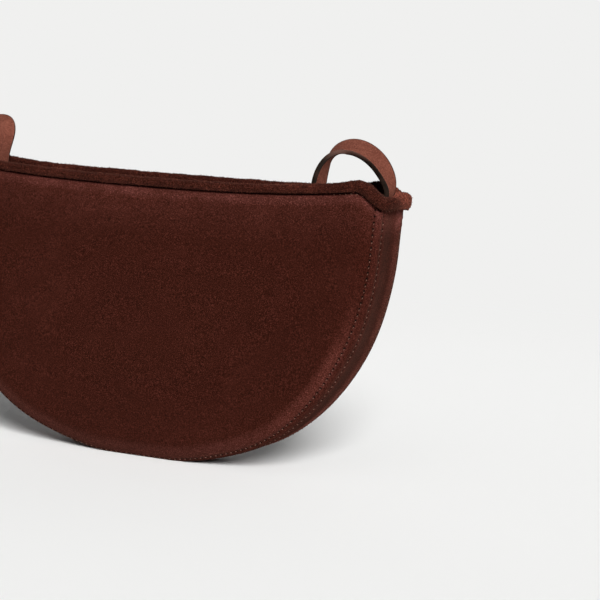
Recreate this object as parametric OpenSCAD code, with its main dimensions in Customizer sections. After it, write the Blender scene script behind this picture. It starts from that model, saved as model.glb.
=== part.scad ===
// Half moon bag: a small shoulder bag of suede with a padded rim, standing on its curved bottom.
// Two dished walls are sewn to a narrow gusset that runs round the half moon. The strap is sewn
// inside the gusset's two ends, arches over the rim and lies tucked in the bag.
// Origin: middle of the footprint. X runs along the bag, the front wall faces -Y, Z is up.

/* [Half moon] */
// Half of the bag's length, from its middle to the end of the gusset
half_l = 168.5; // [140:0.5:210]
// Height at which the half moon is widest
moon_h = 175; // [150:1:220]
// Fullness of the curved bottom, where 2 is an ellipse
fullness = 2.6; // [2.2:0.1:3.2]
// Distance from the front seam to the back seam
depth = 32; // [28:1:60]
// How far each wall stands out past its seam
shoulder_h = 5.5; // [3:0.5:9]
// Width of the rounded edge along each seam
shoulder_w = 14; // [10:1:24]
// Further swell of each wall at its middle
belly_h = 3.5; // [1:0.5:8]
// How much of the curve the bag's weight has flattened
settle = 0.6; // [0.4:0.1:1.2]

/* [Rim] */
// Height of the rim's middle above the widest place
rim_over = 0.5; // [0:0.5:8]
// Rise of the rim from its middle to its ends
rim_rise = 9; // [4:0.5:14]
// Drop of the rim from a wall to the gusset
corner_drop = 13; // [8:0.5:18]
// How much lower the rim lies along the back wall
back_dip = 1.5; // [0:0.5:3]
// Length of rim that takes the drop
drop_l = 30; // [24:1:40]
// Distance from the bag's end at which the drop starts
drop_from = 22.5; // [18:0.5:30]
// Width of the padded binding, across the rim
bind_w = 8; // [7.5:0.5:10]
// Height of the padded binding
bind_h = 6.4; // [6.4:0.2:9]
// Thickness of the binding's suede
bind_t = 1.3; // [1:0.1:1.4]
// How far the binding stands out past the gusset
bind_out = 5.5; // [3.4:0.1:6]
// Thickness of the filler cord in the binding
cord_d = 3; // [2:0.2:3]
// How far the walls reach up into the binding
bind_grip = 1.2; // [0.4:0.1:1.2]

/* [Layers] */
// Thickness of the walls' suede
panel_t = 1.4; // [1:0.1:1.6]
// Thickness of the gusset's suede
gusset_t = 1.6; // [1:0.1:2]
// Thickness of the stiffening board behind the suede
board_t = 0.8; // [0.6:0.1:1]
// Thickness of the lining cloth
lining_t = 0.6; // [0.4:0.1:0.8]
// Thickness of the suede facing inside the rim
facing_t = 1.2; // [0.8:0.1:1.3]
// Height of the facing
facing_h = 28; // [26:1:36]
// Room between two layers
layer_gap = 0.3; // [0.2:0.05:0.4]
// Thickness of the seam thread
thread_d = 0.6; // [0.4:0.1:0.8]
// Distance from a seam to the stitches beside it
row_inset = 3; // [2.5:0.1:5]

/* [Strap] */
// Width of the strap
strap_w = 16; // [12:0.1:17]
// Thickness of each of the strap's two layers
strap_layer_t = 1.4; // [1:0.1:1.6]
// Length of strap that is sewn to the gusset
strap_tail = 22; // [16:1:28]
// Height of the arch's foot above the gusset
arch_foot = 9.5; // [8.5:0.5:14]
// Lean of the strap out over the gusset, at the arch's foot
arch_lean = 3.8; // [2:0.1:4.5]
// Rise of the arch above its foot
arch_rise = 27.8; // [15:0.1:45]
// Span of the arch from its foot to its top
arch_out = 31.4; // [20:0.1:40]
// Span of the arch from its top to the tucked part
arch_in = 19.7; // [15:0.1:30]
// How far the tucked part lies behind the middle
strap_shift = 3; // [0:0.5:3.5]
// Height of the loop that the tucked strap makes in the bag
loop_h = 100; // [60:1:110]
// Turn of the strap at the top of its arch, in degrees
arch_tilt = 27; // [0:1:40]
// Thickness of the patch behind the sewn end
patch_t = 0.8; // [0.5:0.1:0.9]
// Margin of the patch round the sewn end
patch_edge = 3; // [2:0.5:4]

/* [Pockets] */
// Width of the slip pocket on the front lining
slip_w = 150; // [100:5:160]
// Height of the slip pocket
slip_h = 82; // [60:1:90]
// Height of the slip pocket's mouth below the rim
slip_down = 42; // [36:1:60]
// Length of the closed zip on the back lining
zip_l = 150; // [100:5:160]
// Height of the zip pocket under its zip
zip_pocket_h = 72; // [50:1:80]
// Height of the zip below the rim
zip_down = 46; // [44:1:60]
// Width of the zip tape
tape_w = 26; // [20:1:28]
// Thickness of the zip tape
tape_t = 0.7; // [0.5:0.1:0.9]
// Thickness of the pocket cloth
pocket_t = 0.8; // [0.5:0.1:1]
// Distance from one zip tooth to the next in its row
tooth_pitch = 3; // [2.5:0.25:4]
// Length of a zip tooth, across the tape
tooth_l = 3.4; // [2.8:0.1:4]
// Height of a zip tooth above the tape
tooth_h = 1.6; // [1.2:0.1:2]
// Length of the zip slider
slider_l = 10; // [8:0.5:14]
// Thickness of the slider's plate and sides
slider_t = 1.1; // [0.8:0.1:1.5]
// Length of the zip puller past its pin
puller_l = 22; // [16:1:26]
// Width of the zip puller
puller_w = 6; // [5:0.5:8]
// Thickness of the zip puller
puller_t = 1.2; // [0.8:0.1:1.6]
// Diameter of the puller's pin
pin_d = 1.2; // [1:0.1:1.6]
// Wall round the pin in the puller's eye
eye_wall = 0.8; // [0.6:0.1:1]

/* [Snap] */
// Diameter of the magnetic snap
snap_d = 15; // [12:0.5:18]
// Height of each half of the snap
snap_h = 2.4; // [1.8:0.1:3]
// Diameter of the snap's centre boss and its socket
boss_d = 6; // [4:0.5:8]
// Height of the boss
boss_h = 1.8; // [1:0.1:2]
// Depth of the snap's centre below the rim
snap_down = 17; // [14:0.5:18]
// Thickness of the washers behind the facing
washer_t = 0.8; // [0.5:0.1:0.8]

/* [Fits] */
// Room round the moving zip slider
slide_gap = 0.3; // [0.2:0.05:0.4]
// Room round the puller's pin
pin_gap = 0.1; // [0.08:0.01:0.15]
// Room between pieces that lie against each other
seat_gap = 0.2; // [0.15:0.05:0.3]

/* [Hidden] */

suede = [0.27, 0.13, 0.10];
suede_dark = [0.20, 0.09, 0.07];
suede_light = [0.42, 0.24, 0.20];
cloth = [0.36, 0.27, 0.22];
board_grey = [0.60, 0.56, 0.50];
thread_brown = [0.45, 0.30, 0.25];
metal = [0.66, 0.55, 0.36];

// Steps along half of the outline and down a wall, and how much they crowd toward the seam
col_n = 16;
row_n = 10;
inner_row_n = 6;
row_crowding = 1.7;
// Angle of the outline's flat bottom, and of the end of its curve
flat_a = 4.5;
// Share of the widest height at which the outline's curve ends and its straight top begins
curve_end_share = 0.85;
inner_end_share = 0.72;
// Shape of the rim's corner, seen from above
corner_power = 60;
corner_round = 0.4;
corner_share = 0.955;

// How far in from the outline the layers of the gusset reach, and those of a wall
gusset_pack = gusset_t + board_t + lining_t + 2 * layer_gap;
lining_in = panel_t + board_t + 2 * layer_gap;
lining_far = lining_in + lining_t;
facing_in = panel_t + board_t + 2 * layer_gap;
facing_far = facing_in + facing_t;
inner_edge = gusset_pack + layer_gap;
strap_t = 2 * strap_layer_t + layer_gap / 2;

gusset_half_y = depth / 2 - panel_t;
edge_x = half_l + bind_out - bind_w / 2;
edge_y = depth / 2 + shoulder_h - facing_far / 2;
gusset_top = moon_h + rim_over + rim_rise - corner_drop;

function smooth(t) = let(c = min(1, max(0, t))) c * c * (3 - 2 * c);
function sgn(v) = v < 0 ? -1 : 1;

// Outline of the half moon: height, half length at a height, and a point inset by e
function moon_z(a) = max(0, moon_h * (1 - cos(a)) - settle);
function moon_x(a) = half_l * sgn(a) * pow(abs(sin(a)), 2 / fullness);
function side_x(z) = half_l * pow(1 - pow(max(0, 1 - (z + settle) / moon_h), 2), 1 / fullness);
function moon_normal(a) = let(
    gx = fullness * pow(abs(moon_x(a)) / half_l, fullness - 1) / half_l,
    gz = 2 * cos(a) / moon_h,
    g = sqrt(gx * gx + gz * gz)) [sgn(a) * gx / g, -gz / g];
function moon_pt(a, e) = let(n = moon_normal(a)) [moon_x(a) - n.x * e, moon_z(a) - n.y * e];
function end_angle(share) = acos(1 - share - settle / moon_h);
function angle_at(i, share) = let(last = end_angle(share))
    sgn(i - col_n - 0.5) * (flat_a + (last - flat_a) * (abs(i - col_n - 0.5) - 0.5) / col_n);

// Rim: plan of the binding's middle, and height of the rim at a place
function rim_plan_y(x) = edge_y * pow(max(0, 1 - pow(abs(x) / edge_x, corner_power)), corner_round);
function rim_plan_x(y) = edge_x * pow(max(0, 1 - pow(abs(y) / edge_y, 1 / corner_round)), 1 / corner_power);
function rim_z(x, y) = moon_h + rim_over + rim_rise * min(1, pow(x / half_l, 2))
    - corner_drop * smooth((abs(x) - half_l + drop_from + max(0, edge_y - abs(y))) / drop_l);
function wall_rim_z(x, dip) = let(y = max(depth / 2, rim_plan_y(x)))
    rim_z(x, y) - dip * smooth(y / edge_y);
function grip_at(x) = bind_grip - (bind_grip + seat_gap) * smooth((abs(x) / half_l - 0.72) / 0.1);

// Swell of a wall: a rounded shoulder along the seam and a low belly
function seam_gap(x, z) = let(
    u = min(1, abs(x) / half_l),
    v = max(0, 1 - (z + settle) / moon_h),
    gx = fullness * pow(u, fullness - 1) / half_l,
    gz = 2 * v / moon_h,
    g = sqrt(gx * gx + gz * gz),
    level = max(0, 1 - pow(u, fullness) - v * v))
    level >= g * shoulder_w ? shoulder_w : level / g;
function swell(x, z) = let(
    u = min(1, abs(x) / half_l),
    w = min(1, max(0, z / moon_h)),
    q = 1 - seam_gap(x, z) / shoulder_w)
    shoulder_h * (1 - q * q) + belly_h * (1 - u * u) * 4 * w * (1 - w);
function wall_y(x, z, inward) = -(depth / 2 + swell(x, z) - inward);

// Grid of places on a wall, as [x, z], from its top edge down to its outline
function top_pt(a, share, e, down, dip) = let(
    s = sin(90 * a / end_angle(share)),
    corner_z = wall_rim_z(half_l, dip) - down,
    x = s * (side_x(corner_z) - e))
    [x, wall_rim_z(s * half_l, dip) - down + (down == 0 ? grip_at(s * half_l) : 0)];
function wall_grid(share, e, down, rows, dip) = [for (j = [0:rows]) [for (i = [0:2 * col_n + 1])
    let(a = angle_at(i, share), r = 1 - pow(1 - j / rows, row_crowding))
    top_pt(a, share, e, down, dip) * (1 - r) + moon_pt(a, e) * r]];
function band_grid(share, e, down, dip) = [for (j = [0:2]) [for (i = [0:2 * col_n + 1])
    let(a = angle_at(i, share))
    top_pt(a, share, e, 0, dip) * (1 - j / 2)
        + (top_pt(a, share, e, down, dip) + [0, layer_gap]) * j / 2]];
function patch_grid(w, low, high, cols) = [for (j = [0:3]) [for (i = [0:cols])
    [w * (i / cols - 1 / 2), high + (low - high) * j / 3]]];

// Front sheet over a grid, between two distances inward from the wall's outer face
module sheet(grid, near, far) {
    nr = len(grid);
    nc = len(grid[0]);
    points = [for (d = [near, far]) for (row = grid) for (p = row) [p.x, wall_y(p.x, p.y, d), p.y]];
    function id(side, j, i) = side * nr * nc + j * nc + i;
    polyhedron(points = points, convexity = 8, faces = concat(
        [for (j = [0:nr - 2]) for (i = [0:nc - 2])
            [id(0, j, i), id(0, j, i + 1), id(0, j + 1, i + 1), id(0, j + 1, i)]],
        [for (j = [0:nr - 2]) for (i = [0:nc - 2])
            [id(1, j, i), id(1, j + 1, i), id(1, j + 1, i + 1), id(1, j, i + 1)]],
        [for (i = [0:nc - 2]) [id(0, 0, i), id(1, 0, i), id(1, 0, i + 1), id(0, 0, i + 1)]],
        [for (i = [0:nc - 2])
            [id(0, nr - 1, i), id(0, nr - 1, i + 1), id(1, nr - 1, i + 1), id(1, nr - 1, i)]],
        [for (j = [0:nr - 2]) [id(0, j, 0), id(0, j + 1, 0), id(1, j + 1, 0), id(1, j, 0)]],
        [for (j = [0:nr - 2])
            [id(0, j, nc - 1), id(1, j, nc - 1), id(1, j + 1, nc - 1), id(0, j + 1, nc - 1)]]));
}

// Strip round the half moon, between two insets from the outline
function strip_edge(e, share, top) = concat(
    [[-(side_x(top) - e), top]],
    [for (i = [0:2 * col_n + 1]) moon_pt(angle_at(i, share), e)],
    [[side_x(top) - e, top]]);
function reversed(list) = [for (i = [len(list) - 1:-1:0]) list[i]];
module strip(near, far, half_y, share, top) {
    rotate([90, 0, 0])
        translate([0, 0, -half_y])
            linear_extrude(2 * half_y)
                polygon(concat(strip_edge(near, share, top), reversed(strip_edge(far, share, top))));
}

// Tube of a fixed section along a list of frames [place, side, up]; closed in a ring or capped
module swept(frames, section, closed) {
    n = len(frames);
    m = len(section);
    points = [for (f = frames) for (s = section) f[0] + f[1] * s.x + f[2] * s.y];
    function corner(i, k) = i % n * m + k % m;
    sides = [for (i = [0:(closed ? n - 1 : n - 2)]) for (k = [0:m - 1]) for (half = [0, 1])
        let(c = [corner(i, k), corner(i, k + 1), corner(i + 1, k + 1), corner(i + 1, k)],
            first = (k < m / 2 ? 0 : 1))
        [c[first], c[first + 1 + half], c[(first + 2 + half) % 4]]];
    caps = closed ? [] : [[for (k = [m - 1:-1:0]) k], [for (k = [0:m - 1]) (n - 1) * m + k]];
    polyhedron(points = points, faces = concat(sides, caps), convexity = 8);
}
function unit(v) = v / norm(v);

// Closed path of the rim, one quarter at a time, anticlockwise from above
path_n = 12;
turn_n = 6;
quarter = let(x_s = corner_share * edge_x, y_s = rim_plan_y(x_s)) concat(
    [for (i = [0:path_n]) [x_s * i / path_n, -rim_plan_y(x_s * i / path_n)]],
    [for (i = [1:turn_n]) let(y = y_s * (1 - i / turn_n)) [rim_plan_x(y), -y]]);
quarter_n = len(quarter);
plan = concat(quarter,
    [for (i = [quarter_n - 2:-1:0]) [quarter[i].x, -quarter[i].y]],
    [for (i = [1:quarter_n - 1]) [-quarter[i].x, -quarter[i].y]],
    [for (i = [quarter_n - 2:-1:1]) [-quarter[i].x, quarter[i].y]]);
rim_path = [for (p = plan) [p.x, p.y, rim_z(p.x, p.y) - back_dip * smooth(p.y / edge_y)]];
rim_frames = [for (i = [0:len(rim_path) - 1]) let(
    n = len(rim_path),
    t = unit(rim_path[(i + 1) % n] - rim_path[(i + n - 1) % n]),
    s = unit([t.y, -t.x, 0]),
    u = cross(s, t)) [rim_path[i], s, u]];
// Half of the binding's section, outside then inside, as shares of its width and height
bind_outer_shares = [[0.5, 0], [0.5, 0.4], [0.39, 0.8], [0.17, 1]];
bind_half = [for (s = bind_outer_shares) [s.x * bind_w, s.y * bind_h]];
bind_bore = [for (s = bind_outer_shares) [s.x * (bind_w - 2 * bind_t), s.y * (bind_h - bind_t)]];
bind_section = concat(bind_half, [for (p = reversed(bind_half)) [-p.x, p.y]],
    [for (p = bind_bore) [-p.x, p.y]], reversed(bind_bore));
cord_z = bind_h - bind_t - cord_d / 2 - seat_gap;

// Route of the strap's middle, from the right sewn end to the bag's middle: [x, y, z, turn]
patch_low = gusset_top - strap_tail - patch_edge;
patch_high = gusset_top - seat_gap;
patch_sag = side_x((patch_low + patch_high) / 2) - (side_x(patch_low) + side_x(patch_high)) / 2;
strap_in = gusset_pack + layer_gap + patch_t + patch_sag + seat_gap + strap_t / 2;
foot_z = gusset_top + arch_foot;
mouth_x = side_x(gusset_top) - strap_in;
foot_x = mouth_x + arch_lean;
top_x = foot_x - arch_out;
limb_x = top_x - arch_in;
loop_low = gusset_pack + strap_t / 2 + seat_gap;
lean_z = gusset_top + bind_h / 2;
route_tail = [for (i = [0:2]) let(z = gusset_top - strap_tail * (1 - i / 2))
    [side_x(z) - strap_in, 0, z, 0]];
route_lean = [for (i = [0:3]) let(z = lean_z + (foot_z - lean_z) * i / 4)
    [mouth_x + arch_lean * smooth(i / 4), 0, z, 0]];
route_out = [for (a = [0:11.25:78.75]) [top_x + arch_out * cos(a), strap_shift * a / 360,
    foot_z + arch_rise * sin(a), arch_tilt * pow(sin(a), 2)]];
route_in = [for (a = [0:11.25:90]) [top_x - arch_in * sin(a), strap_shift * (a + 90) / 180,
    foot_z + arch_rise * cos(a), arch_tilt * pow(cos(a), 2)]];
route_limb = [for (i = [1:2]) [limb_x, strap_shift,
    foot_z + (loop_low + loop_h - foot_z) * i / 3, 0]];
route_loop = [for (a = [90:-7.5:7.5]) [limb_x * pow(sin(a), 2 / fullness), strap_shift,
    loop_low + loop_h * (1 - cos(a)), 0]];
route_half = concat(route_tail, route_lean, route_out, route_in, route_limb, route_loop);
strap_route = concat(route_half, [[0, strap_shift, loop_low, 0]],
    [for (p = reversed(route_half)) [-p[0], p[1], p[2], p[3]]]);
strap_frames = [for (i = [0:len(strap_route) - 1]) let(
    n = len(strap_route),
    p = strap_route[i],
    before = strap_route[max(0, i - 1)],
    after = strap_route[min(n - 1, i + 1)],
    t = unit([after[0] - before[0], after[1] - before[1], after[2] - before[2]]),
    w0 = [0, cos(p[3]), sin(p[3])],
    w = unit(w0 - t * (w0 * t))) [[p[0], p[1], p[2]], cross(w, t), w]];
module strap_layer(low, high) {
    swept(strap_frames, [[low, -strap_w / 2], [low, strap_w / 2], [high, strap_w / 2],
        [high, -strap_w / 2]], false);
}

// Zip: plane of the tape, place of the teeth and of the slider with the puller's pin
zip_z = moon_h + rim_over - zip_down;
tape_y = -wall_y(zip_l / 2 + tooth_l, zip_z + tape_w / 2, lining_far + seat_gap) - tape_t;
tooth_n = floor(zip_l / tooth_pitch);
tooth_w = tooth_pitch * 0.55;
slider_half_z = tooth_l * 0.75 + tooth_l / 4 + slide_gap + slider_t;
slider_y = tape_y - tooth_h - slide_gap - slider_t;
eye_r = pin_d / 2 + pin_gap + eye_wall;
pin_y = slider_y - eye_r - seat_gap;
pin_half_z = puller_w / 4 + slide_gap;
post_t = slider_t;
slider_x = -(zip_l - slider_l) / 2;
zip_travel = zip_l - slider_l - tooth_pitch;

// Snap: height of its centre, lean of the wall there and the face that it sits on
snap_z = moon_h + rim_over - snap_down;
snap_lean = atan((swell(0, snap_z - snap_d / 2) - swell(0, snap_z + snap_d / 2)) / snap_d);
snap_y = -wall_y(snap_d / 2, snap_z, facing_far) - seat_gap;
washer_y = -wall_y(snap_d / 2, snap_z, panel_t + layer_gap) - washer_t / 2;

module front_panel() {
    color(suede) sheet(wall_grid(curve_end_share, 0, 0, row_n, 0), 0, panel_t);
}

module back_panel() {
    color(suede)
        mirror([0, 1, 0])
            sheet(wall_grid(curve_end_share, 0, 0, row_n, back_dip), 0, panel_t);
}

module gusset() {
    color(suede) strip(0, gusset_t, gusset_half_y, curve_end_share, gusset_top - seat_gap);
}

module wall_board(dip) {
    color(board_grey)
        sheet(wall_grid(inner_end_share, inner_edge, facing_h, inner_row_n, dip),
            panel_t + layer_gap, panel_t + layer_gap + board_t);
}

module front_board() {
    wall_board(0);
}

module back_board() {
    mirror([0, 1, 0]) wall_board(back_dip);
}

module gusset_board() {
    color(board_grey)
        strip(gusset_t + layer_gap, gusset_t + layer_gap + board_t, gusset_half_y - layer_gap,
            curve_end_share, gusset_top - seat_gap);
}

module wall_lining(dip) {
    color(cloth)
        sheet(wall_grid(inner_end_share, inner_edge, facing_h, inner_row_n, dip), lining_in,
            lining_far);
}

module front_lining() {
    wall_lining(0);
}

module back_lining() {
    mirror([0, 1, 0]) wall_lining(back_dip);
}

module gusset_lining() {
    color(cloth)
        strip(gusset_pack - lining_t, gusset_pack, gusset_half_y - layer_gap, curve_end_share,
            gusset_top - seat_gap);
}

module wall_facing(dip) {
    color(suede_dark)
        sheet(band_grid(inner_end_share, inner_edge, facing_h, dip), facing_in, facing_far);
}

module front_facing() {
    wall_facing(0);
}

module back_facing() {
    mirror([0, 1, 0]) wall_facing(back_dip);
}

module rim_binding() {
    color(suede_dark) swept(rim_frames, bind_section, true);
}

module rim_filler_cord() {
    color(cloth)
        swept(rim_frames, [for (k = [0:5]) [cord_d / 2 * cos(60 * k), cord_z + cord_d / 2 * sin(60 * k)]],
            true);
}

// Two rows of stitches beside a seam: one on the wall, one on the gusset
module seam_thread() {
    first = 3;
    r = thread_d / 2;
    for (side = [-1, 1]) {
        row = [for (i = [first:col_n]) let(
            a = side * (flat_a + (end_angle(curve_end_share) - flat_a) * i / col_n),
            p = moon_pt(a, row_inset)) [p.x, wall_y(p.x, p.y, -r - seat_gap / 2), p.y]];
        frames = [for (i = [0:len(row) - 1]) let(
            t = unit(row[min(len(row) - 1, i + 1)] - row[max(0, i - 1)]),
            s = unit(cross([0, -1, 0], t))) [row[i], s, cross(s, t)]];
        color(thread_brown)
            swept(frames, [[r, 0], [0, r], [-r, 0], [0, -r]], false);
    }
    color(thread_brown)
        for (side = [-1, 1])
            translate([0, -depth / 2 + row_inset + r, 0])
                rotate([90, 0, 0])
                    linear_extrude(2 * r)
                        polygon(concat(
                            [for (i = [first:col_n]) moon_pt(side
                                * (flat_a + (end_angle(curve_end_share) - flat_a) * i / col_n), 0)],
                            [for (i = [col_n:-1:first]) moon_pt(side
                                * (flat_a + (end_angle(curve_end_share) - flat_a) * i / col_n), -r)]));
}

module front_seam_thread() {
    seam_thread();
}

module back_seam_thread() {
    mirror([0, 1, 0]) seam_thread();
}

module strap_outer_layer() {
    color(suede_light) strap_layer(layer_gap / 4, strap_t / 2);
}

module strap_inner_layer() {
    color(suede_light) strap_layer(-strap_t / 2, -layer_gap / 4);
}

// Patch between the gusset's lining and the strap's sewn end, leaning with the gusset
module strap_anchor_patches() {
    lean = atan((side_x(patch_high) - side_x(patch_low)) / (patch_high - patch_low));
    color(suede_dark)
        for (side = [-1, 1])
            scale([side, 1, 1])
                translate([side_x(patch_low) - gusset_pack - layer_gap, 0, patch_low])
                    rotate([0, lean, 0])
                        translate([-patch_t, -strap_w / 2 - patch_edge / 2, 0])
                            cube([patch_t, strap_w + patch_edge, patch_high - patch_low]);
}

module slip_pocket() {
    high = moon_h + rim_over - slip_down;
    color(cloth)
        sheet(patch_grid(slip_w, high - slip_h, high, 8), lining_far + seat_gap,
            lining_far + seat_gap + pocket_t);
}

module zip_pocket() {
    high = zip_z - tape_w / 2 - seat_gap;
    color(cloth)
        mirror([0, 1, 0])
            sheet(patch_grid(zip_l + tooth_l, high - zip_pocket_h, high, 8), lining_far + seat_gap,
                lining_far + seat_gap + pocket_t);
}

module zip_tape() {
    color(suede_dark)
        translate([-zip_l / 2 - tooth_l, tape_y, zip_z - tape_w / 2])
            cube([zip_l + 2 * tooth_l, tape_t, tape_w]);
}

// Two rows of teeth that interlock along the middle of the tape
module zip_teeth() {
    color(metal)
        for (i = [0:tooth_n - 1], row = [-1, 1])
            translate([-zip_l / 2 + tooth_pitch * (i + 0.5 + row / 4), tape_y - tooth_h / 2,
                zip_z + row * tooth_l / 4])
                cube([tooth_w * 0.8, tooth_h, tooth_l], center = true);
}

module zip_end_stops() {
    color(metal)
        for (side = [-1, 1])
            translate([side * (zip_l / 2 + tooth_l / 2), tape_y - tooth_h / 2, zip_z])
                cube([tooth_w, tooth_h, 2 * tooth_l], center = true);
}

// Slider over the teeth, with the two posts and the pin that carry the puller
module zip_slider() {
    color(metal) {
        difference() {
            translate([slider_x - slider_l / 2, slider_y, zip_z - slider_half_z])
                cube([slider_l, tape_y - slider_y - slide_gap, 2 * slider_half_z]);
            translate([slider_x - slider_l, slider_y + slider_t, zip_z - slider_half_z + slider_t])
                cube([2 * slider_l, tape_y - slider_y, 2 * (slider_half_z - slider_t)]);
        }
        for (side = [-1, 1])
            translate([slider_x - eye_r, pin_y - pin_d / 2, zip_z + side * (pin_half_z + post_t / 2) - post_t / 2])
                cube([2 * eye_r, slider_y - pin_y + pin_d, post_t]);
        translate([slider_x, pin_y, zip_z - pin_half_z - post_t])
            cylinder(h = 2 * (pin_half_z + post_t), d = pin_d, $fn = 32);
    }
}

// Puller: an eye round the slider's pin and a flat tab with a round end
module zip_puller() {
    color(metal)
        difference() {
            union() {
                translate([slider_x, pin_y, zip_z - puller_w / 4])
                    cylinder(h = puller_w / 2, r = eye_r, $fn = 32);
                translate([slider_x, pin_y - puller_t / 2, zip_z - puller_w / 4])
                    cube([slider_l, puller_t, puller_w / 2]);
                translate([slider_x + slider_l * 0.8, pin_y - puller_t / 2, zip_z - puller_w / 2])
                    cube([puller_l - puller_w / 2 - slider_l * 0.8, puller_t, puller_w]);
                translate([slider_x + puller_l - puller_w / 2, pin_y + puller_t / 2, zip_z])
                    rotate([90, 0, 0])
                        cylinder(h = puller_t, d = puller_w, $fn = 48);
            }
            translate([slider_x, pin_y, zip_z - puller_w])
                cylinder(h = 2 * puller_w, r = pin_d / 2 + pin_gap, $fn = 32);
            translate([slider_x + puller_l - puller_w / 2, pin_y + puller_t, zip_z])
                rotate([90, 0, 0])
                    cylinder(h = 2 * puller_t, d = puller_w / 2, $fn = 32);
        }
}

// Front half of the snap: a disc with a socket in its middle
module snap_socket() {
    color(metal)
        translate([0, -snap_y, snap_z])
            rotate([-90 - snap_lean, 0, 0])
                difference() {
                    union() {
                        cylinder(h = snap_h * 0.6, d = snap_d, $fn = 64);
                        cylinder(h = snap_h, d = snap_d * 0.86, $fn = 64);
                    }
                    translate([0, 0, snap_h - boss_h - seat_gap])
                        cylinder(h = snap_h, d = boss_d + 2 * seat_gap, $fn = 48);
                }
}

// Back half of the snap: a disc with a boss in its middle
module snap_stud() {
    color(metal)
        translate([0, snap_y, snap_z])
            rotate([90 + snap_lean, 0, 0])
                union() {
                    cylinder(h = snap_h * 0.6, d = snap_d, $fn = 64);
                    cylinder(h = snap_h * 0.8, d = snap_d * 0.86, $fn = 64);
                    cylinder(h = snap_h * 0.8 + boss_h, d = boss_d, $fn = 48);
                }
}

// Washers between each wall's suede and the facing
module snap_washers() {
    color(metal)
        for (side = [-1, 1])
            translate([0, side * washer_y, snap_z])
                rotate([side * (90 + snap_lean), 0, 0])
                    cylinder(h = washer_t, d = snap_d * 0.8, center = true, $fn = 48);
}

front_panel();
back_panel();
gusset();
front_board();
back_board();
gusset_board();
front_lining();
back_lining();
gusset_lining();
front_facing();
back_facing();
rim_binding();
rim_filler_cord();
front_seam_thread();
back_seam_thread();
strap_outer_layer();
strap_inner_layer();
strap_anchor_patches();
slip_pocket();
zip_pocket();
zip_tape();
zip_teeth();
zip_end_stops();
zip_slider();
zip_puller();
snap_socket();
snap_stud();
snap_washers();
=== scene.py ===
"""Half moon bag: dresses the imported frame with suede, cloth, thread and metal, and sets its studio.

All sizes are in metres, in the frame of the part: X along the bag, the front wall faces -Y, Z is up.
"""

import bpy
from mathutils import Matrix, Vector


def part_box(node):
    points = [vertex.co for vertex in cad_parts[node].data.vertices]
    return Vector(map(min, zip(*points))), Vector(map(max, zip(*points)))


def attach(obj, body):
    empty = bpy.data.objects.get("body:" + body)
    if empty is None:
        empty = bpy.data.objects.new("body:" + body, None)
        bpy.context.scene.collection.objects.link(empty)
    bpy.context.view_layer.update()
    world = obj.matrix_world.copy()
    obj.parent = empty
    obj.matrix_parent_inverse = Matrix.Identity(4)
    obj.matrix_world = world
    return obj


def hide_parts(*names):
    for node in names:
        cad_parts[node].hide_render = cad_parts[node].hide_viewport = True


bl_info = {
    "name": "Half moon bag",
    "version": (1, 0, 0),
    "blender": (4, 5, 0),
    "location": "View3D > Sidebar > Half moon bag",
    "description": "Soft walls, padded rim, strap, stitches, lining and zip of a half moon bag",
    "category": "Object",
}

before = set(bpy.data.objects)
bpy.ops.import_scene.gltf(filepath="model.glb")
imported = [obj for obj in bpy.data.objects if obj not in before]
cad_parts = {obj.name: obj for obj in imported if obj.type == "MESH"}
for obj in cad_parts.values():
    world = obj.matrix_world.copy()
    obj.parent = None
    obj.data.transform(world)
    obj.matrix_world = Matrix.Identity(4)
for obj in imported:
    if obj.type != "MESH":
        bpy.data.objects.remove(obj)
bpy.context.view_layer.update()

import math

import bpy
import numpy as np
from bpy.props import FloatProperty, FloatVectorProperty, PointerProperty
from mathutils import Matrix

BODY = "bag"

# Bends of the outline, each the middle and the width of a bell: along the height, but BILGE_AT along X.
WAIST_AT = (0.156, 0.018)
HIP_AT = (0.086, 0.032)
BILGE_AT = (0.066, 0.027)

# Small relief of the walls and the gusset.
PULL_IN = ((0.0012, 0.0017), (0.0006, 0.006))    # depths and reaches of the pull-in under the binding
PUCKER_HEIGHT, PUCKER_LENGTH = 0.00014, 0.0165   # puckers beside it
SEAM_CREASE = 0.00045                            # depth of the crease at a seam
ROW_DENT, ROW_WIDTH = 0.00022, 0.0008            # dent along a row of stitches
CREASE_Y, CREASE_Z, CREASE_DEPTH = 0.0135, 0.1638, 0.0015    # slanting crease of the gusset

# Small pieces.
TOUCH = 0.0002                                   # gap between pieces that lie on each other
PATCH_THICK, PATCH_HALF, PATCH_MARGIN = 0.0008, 0.0095, 0.003    # patches behind the strap's ends
CORD_RADIUS, CORD_HEIGHT = 0.00125, 0.00255      # filler cord, and its middle over the binding's feet
THREAD_LIFT = 0.00012                            # height of the stitches' middle over the leather
FIBRES, FIBRE_LONG, FIBRE_THICK = 22000, 0.0008, 0.00011         # loose nap on the binding
POCKET_THICK, POCKET_HEM, POCKET_SLACK = 0.0008, 0.0004, 0.0012
TOOTH_PITCH, TEETH, TEETH_START = 0.003, 50, -0.075
TOOTH_SIDE = 0.00085                             # middle of a tooth's outline to the middle of the zip

# Distances over the paper, in metres from the bag.
GLOW_FROM, GLOW_FULL, DIM_FULL = 0.30, 0.85, 1.4


# ---------------------------------------------------------------- sizes and finishes

def length(name, default, description):
    """A size in metres."""
    return FloatProperty(name=name, description=description, default=default, min=0.0,
                         precision=5, unit="LENGTH", subtype="DISTANCE")


def number(name, default, description):
    """A plain number without a unit."""
    return FloatProperty(name=name, description=description, default=default)


def turn(name, degrees, description):
    """An angle, stored in radians."""
    return FloatProperty(name=name, description=description, default=math.radians(degrees),
                         unit="ROTATION", subtype="ANGLE")


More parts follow.
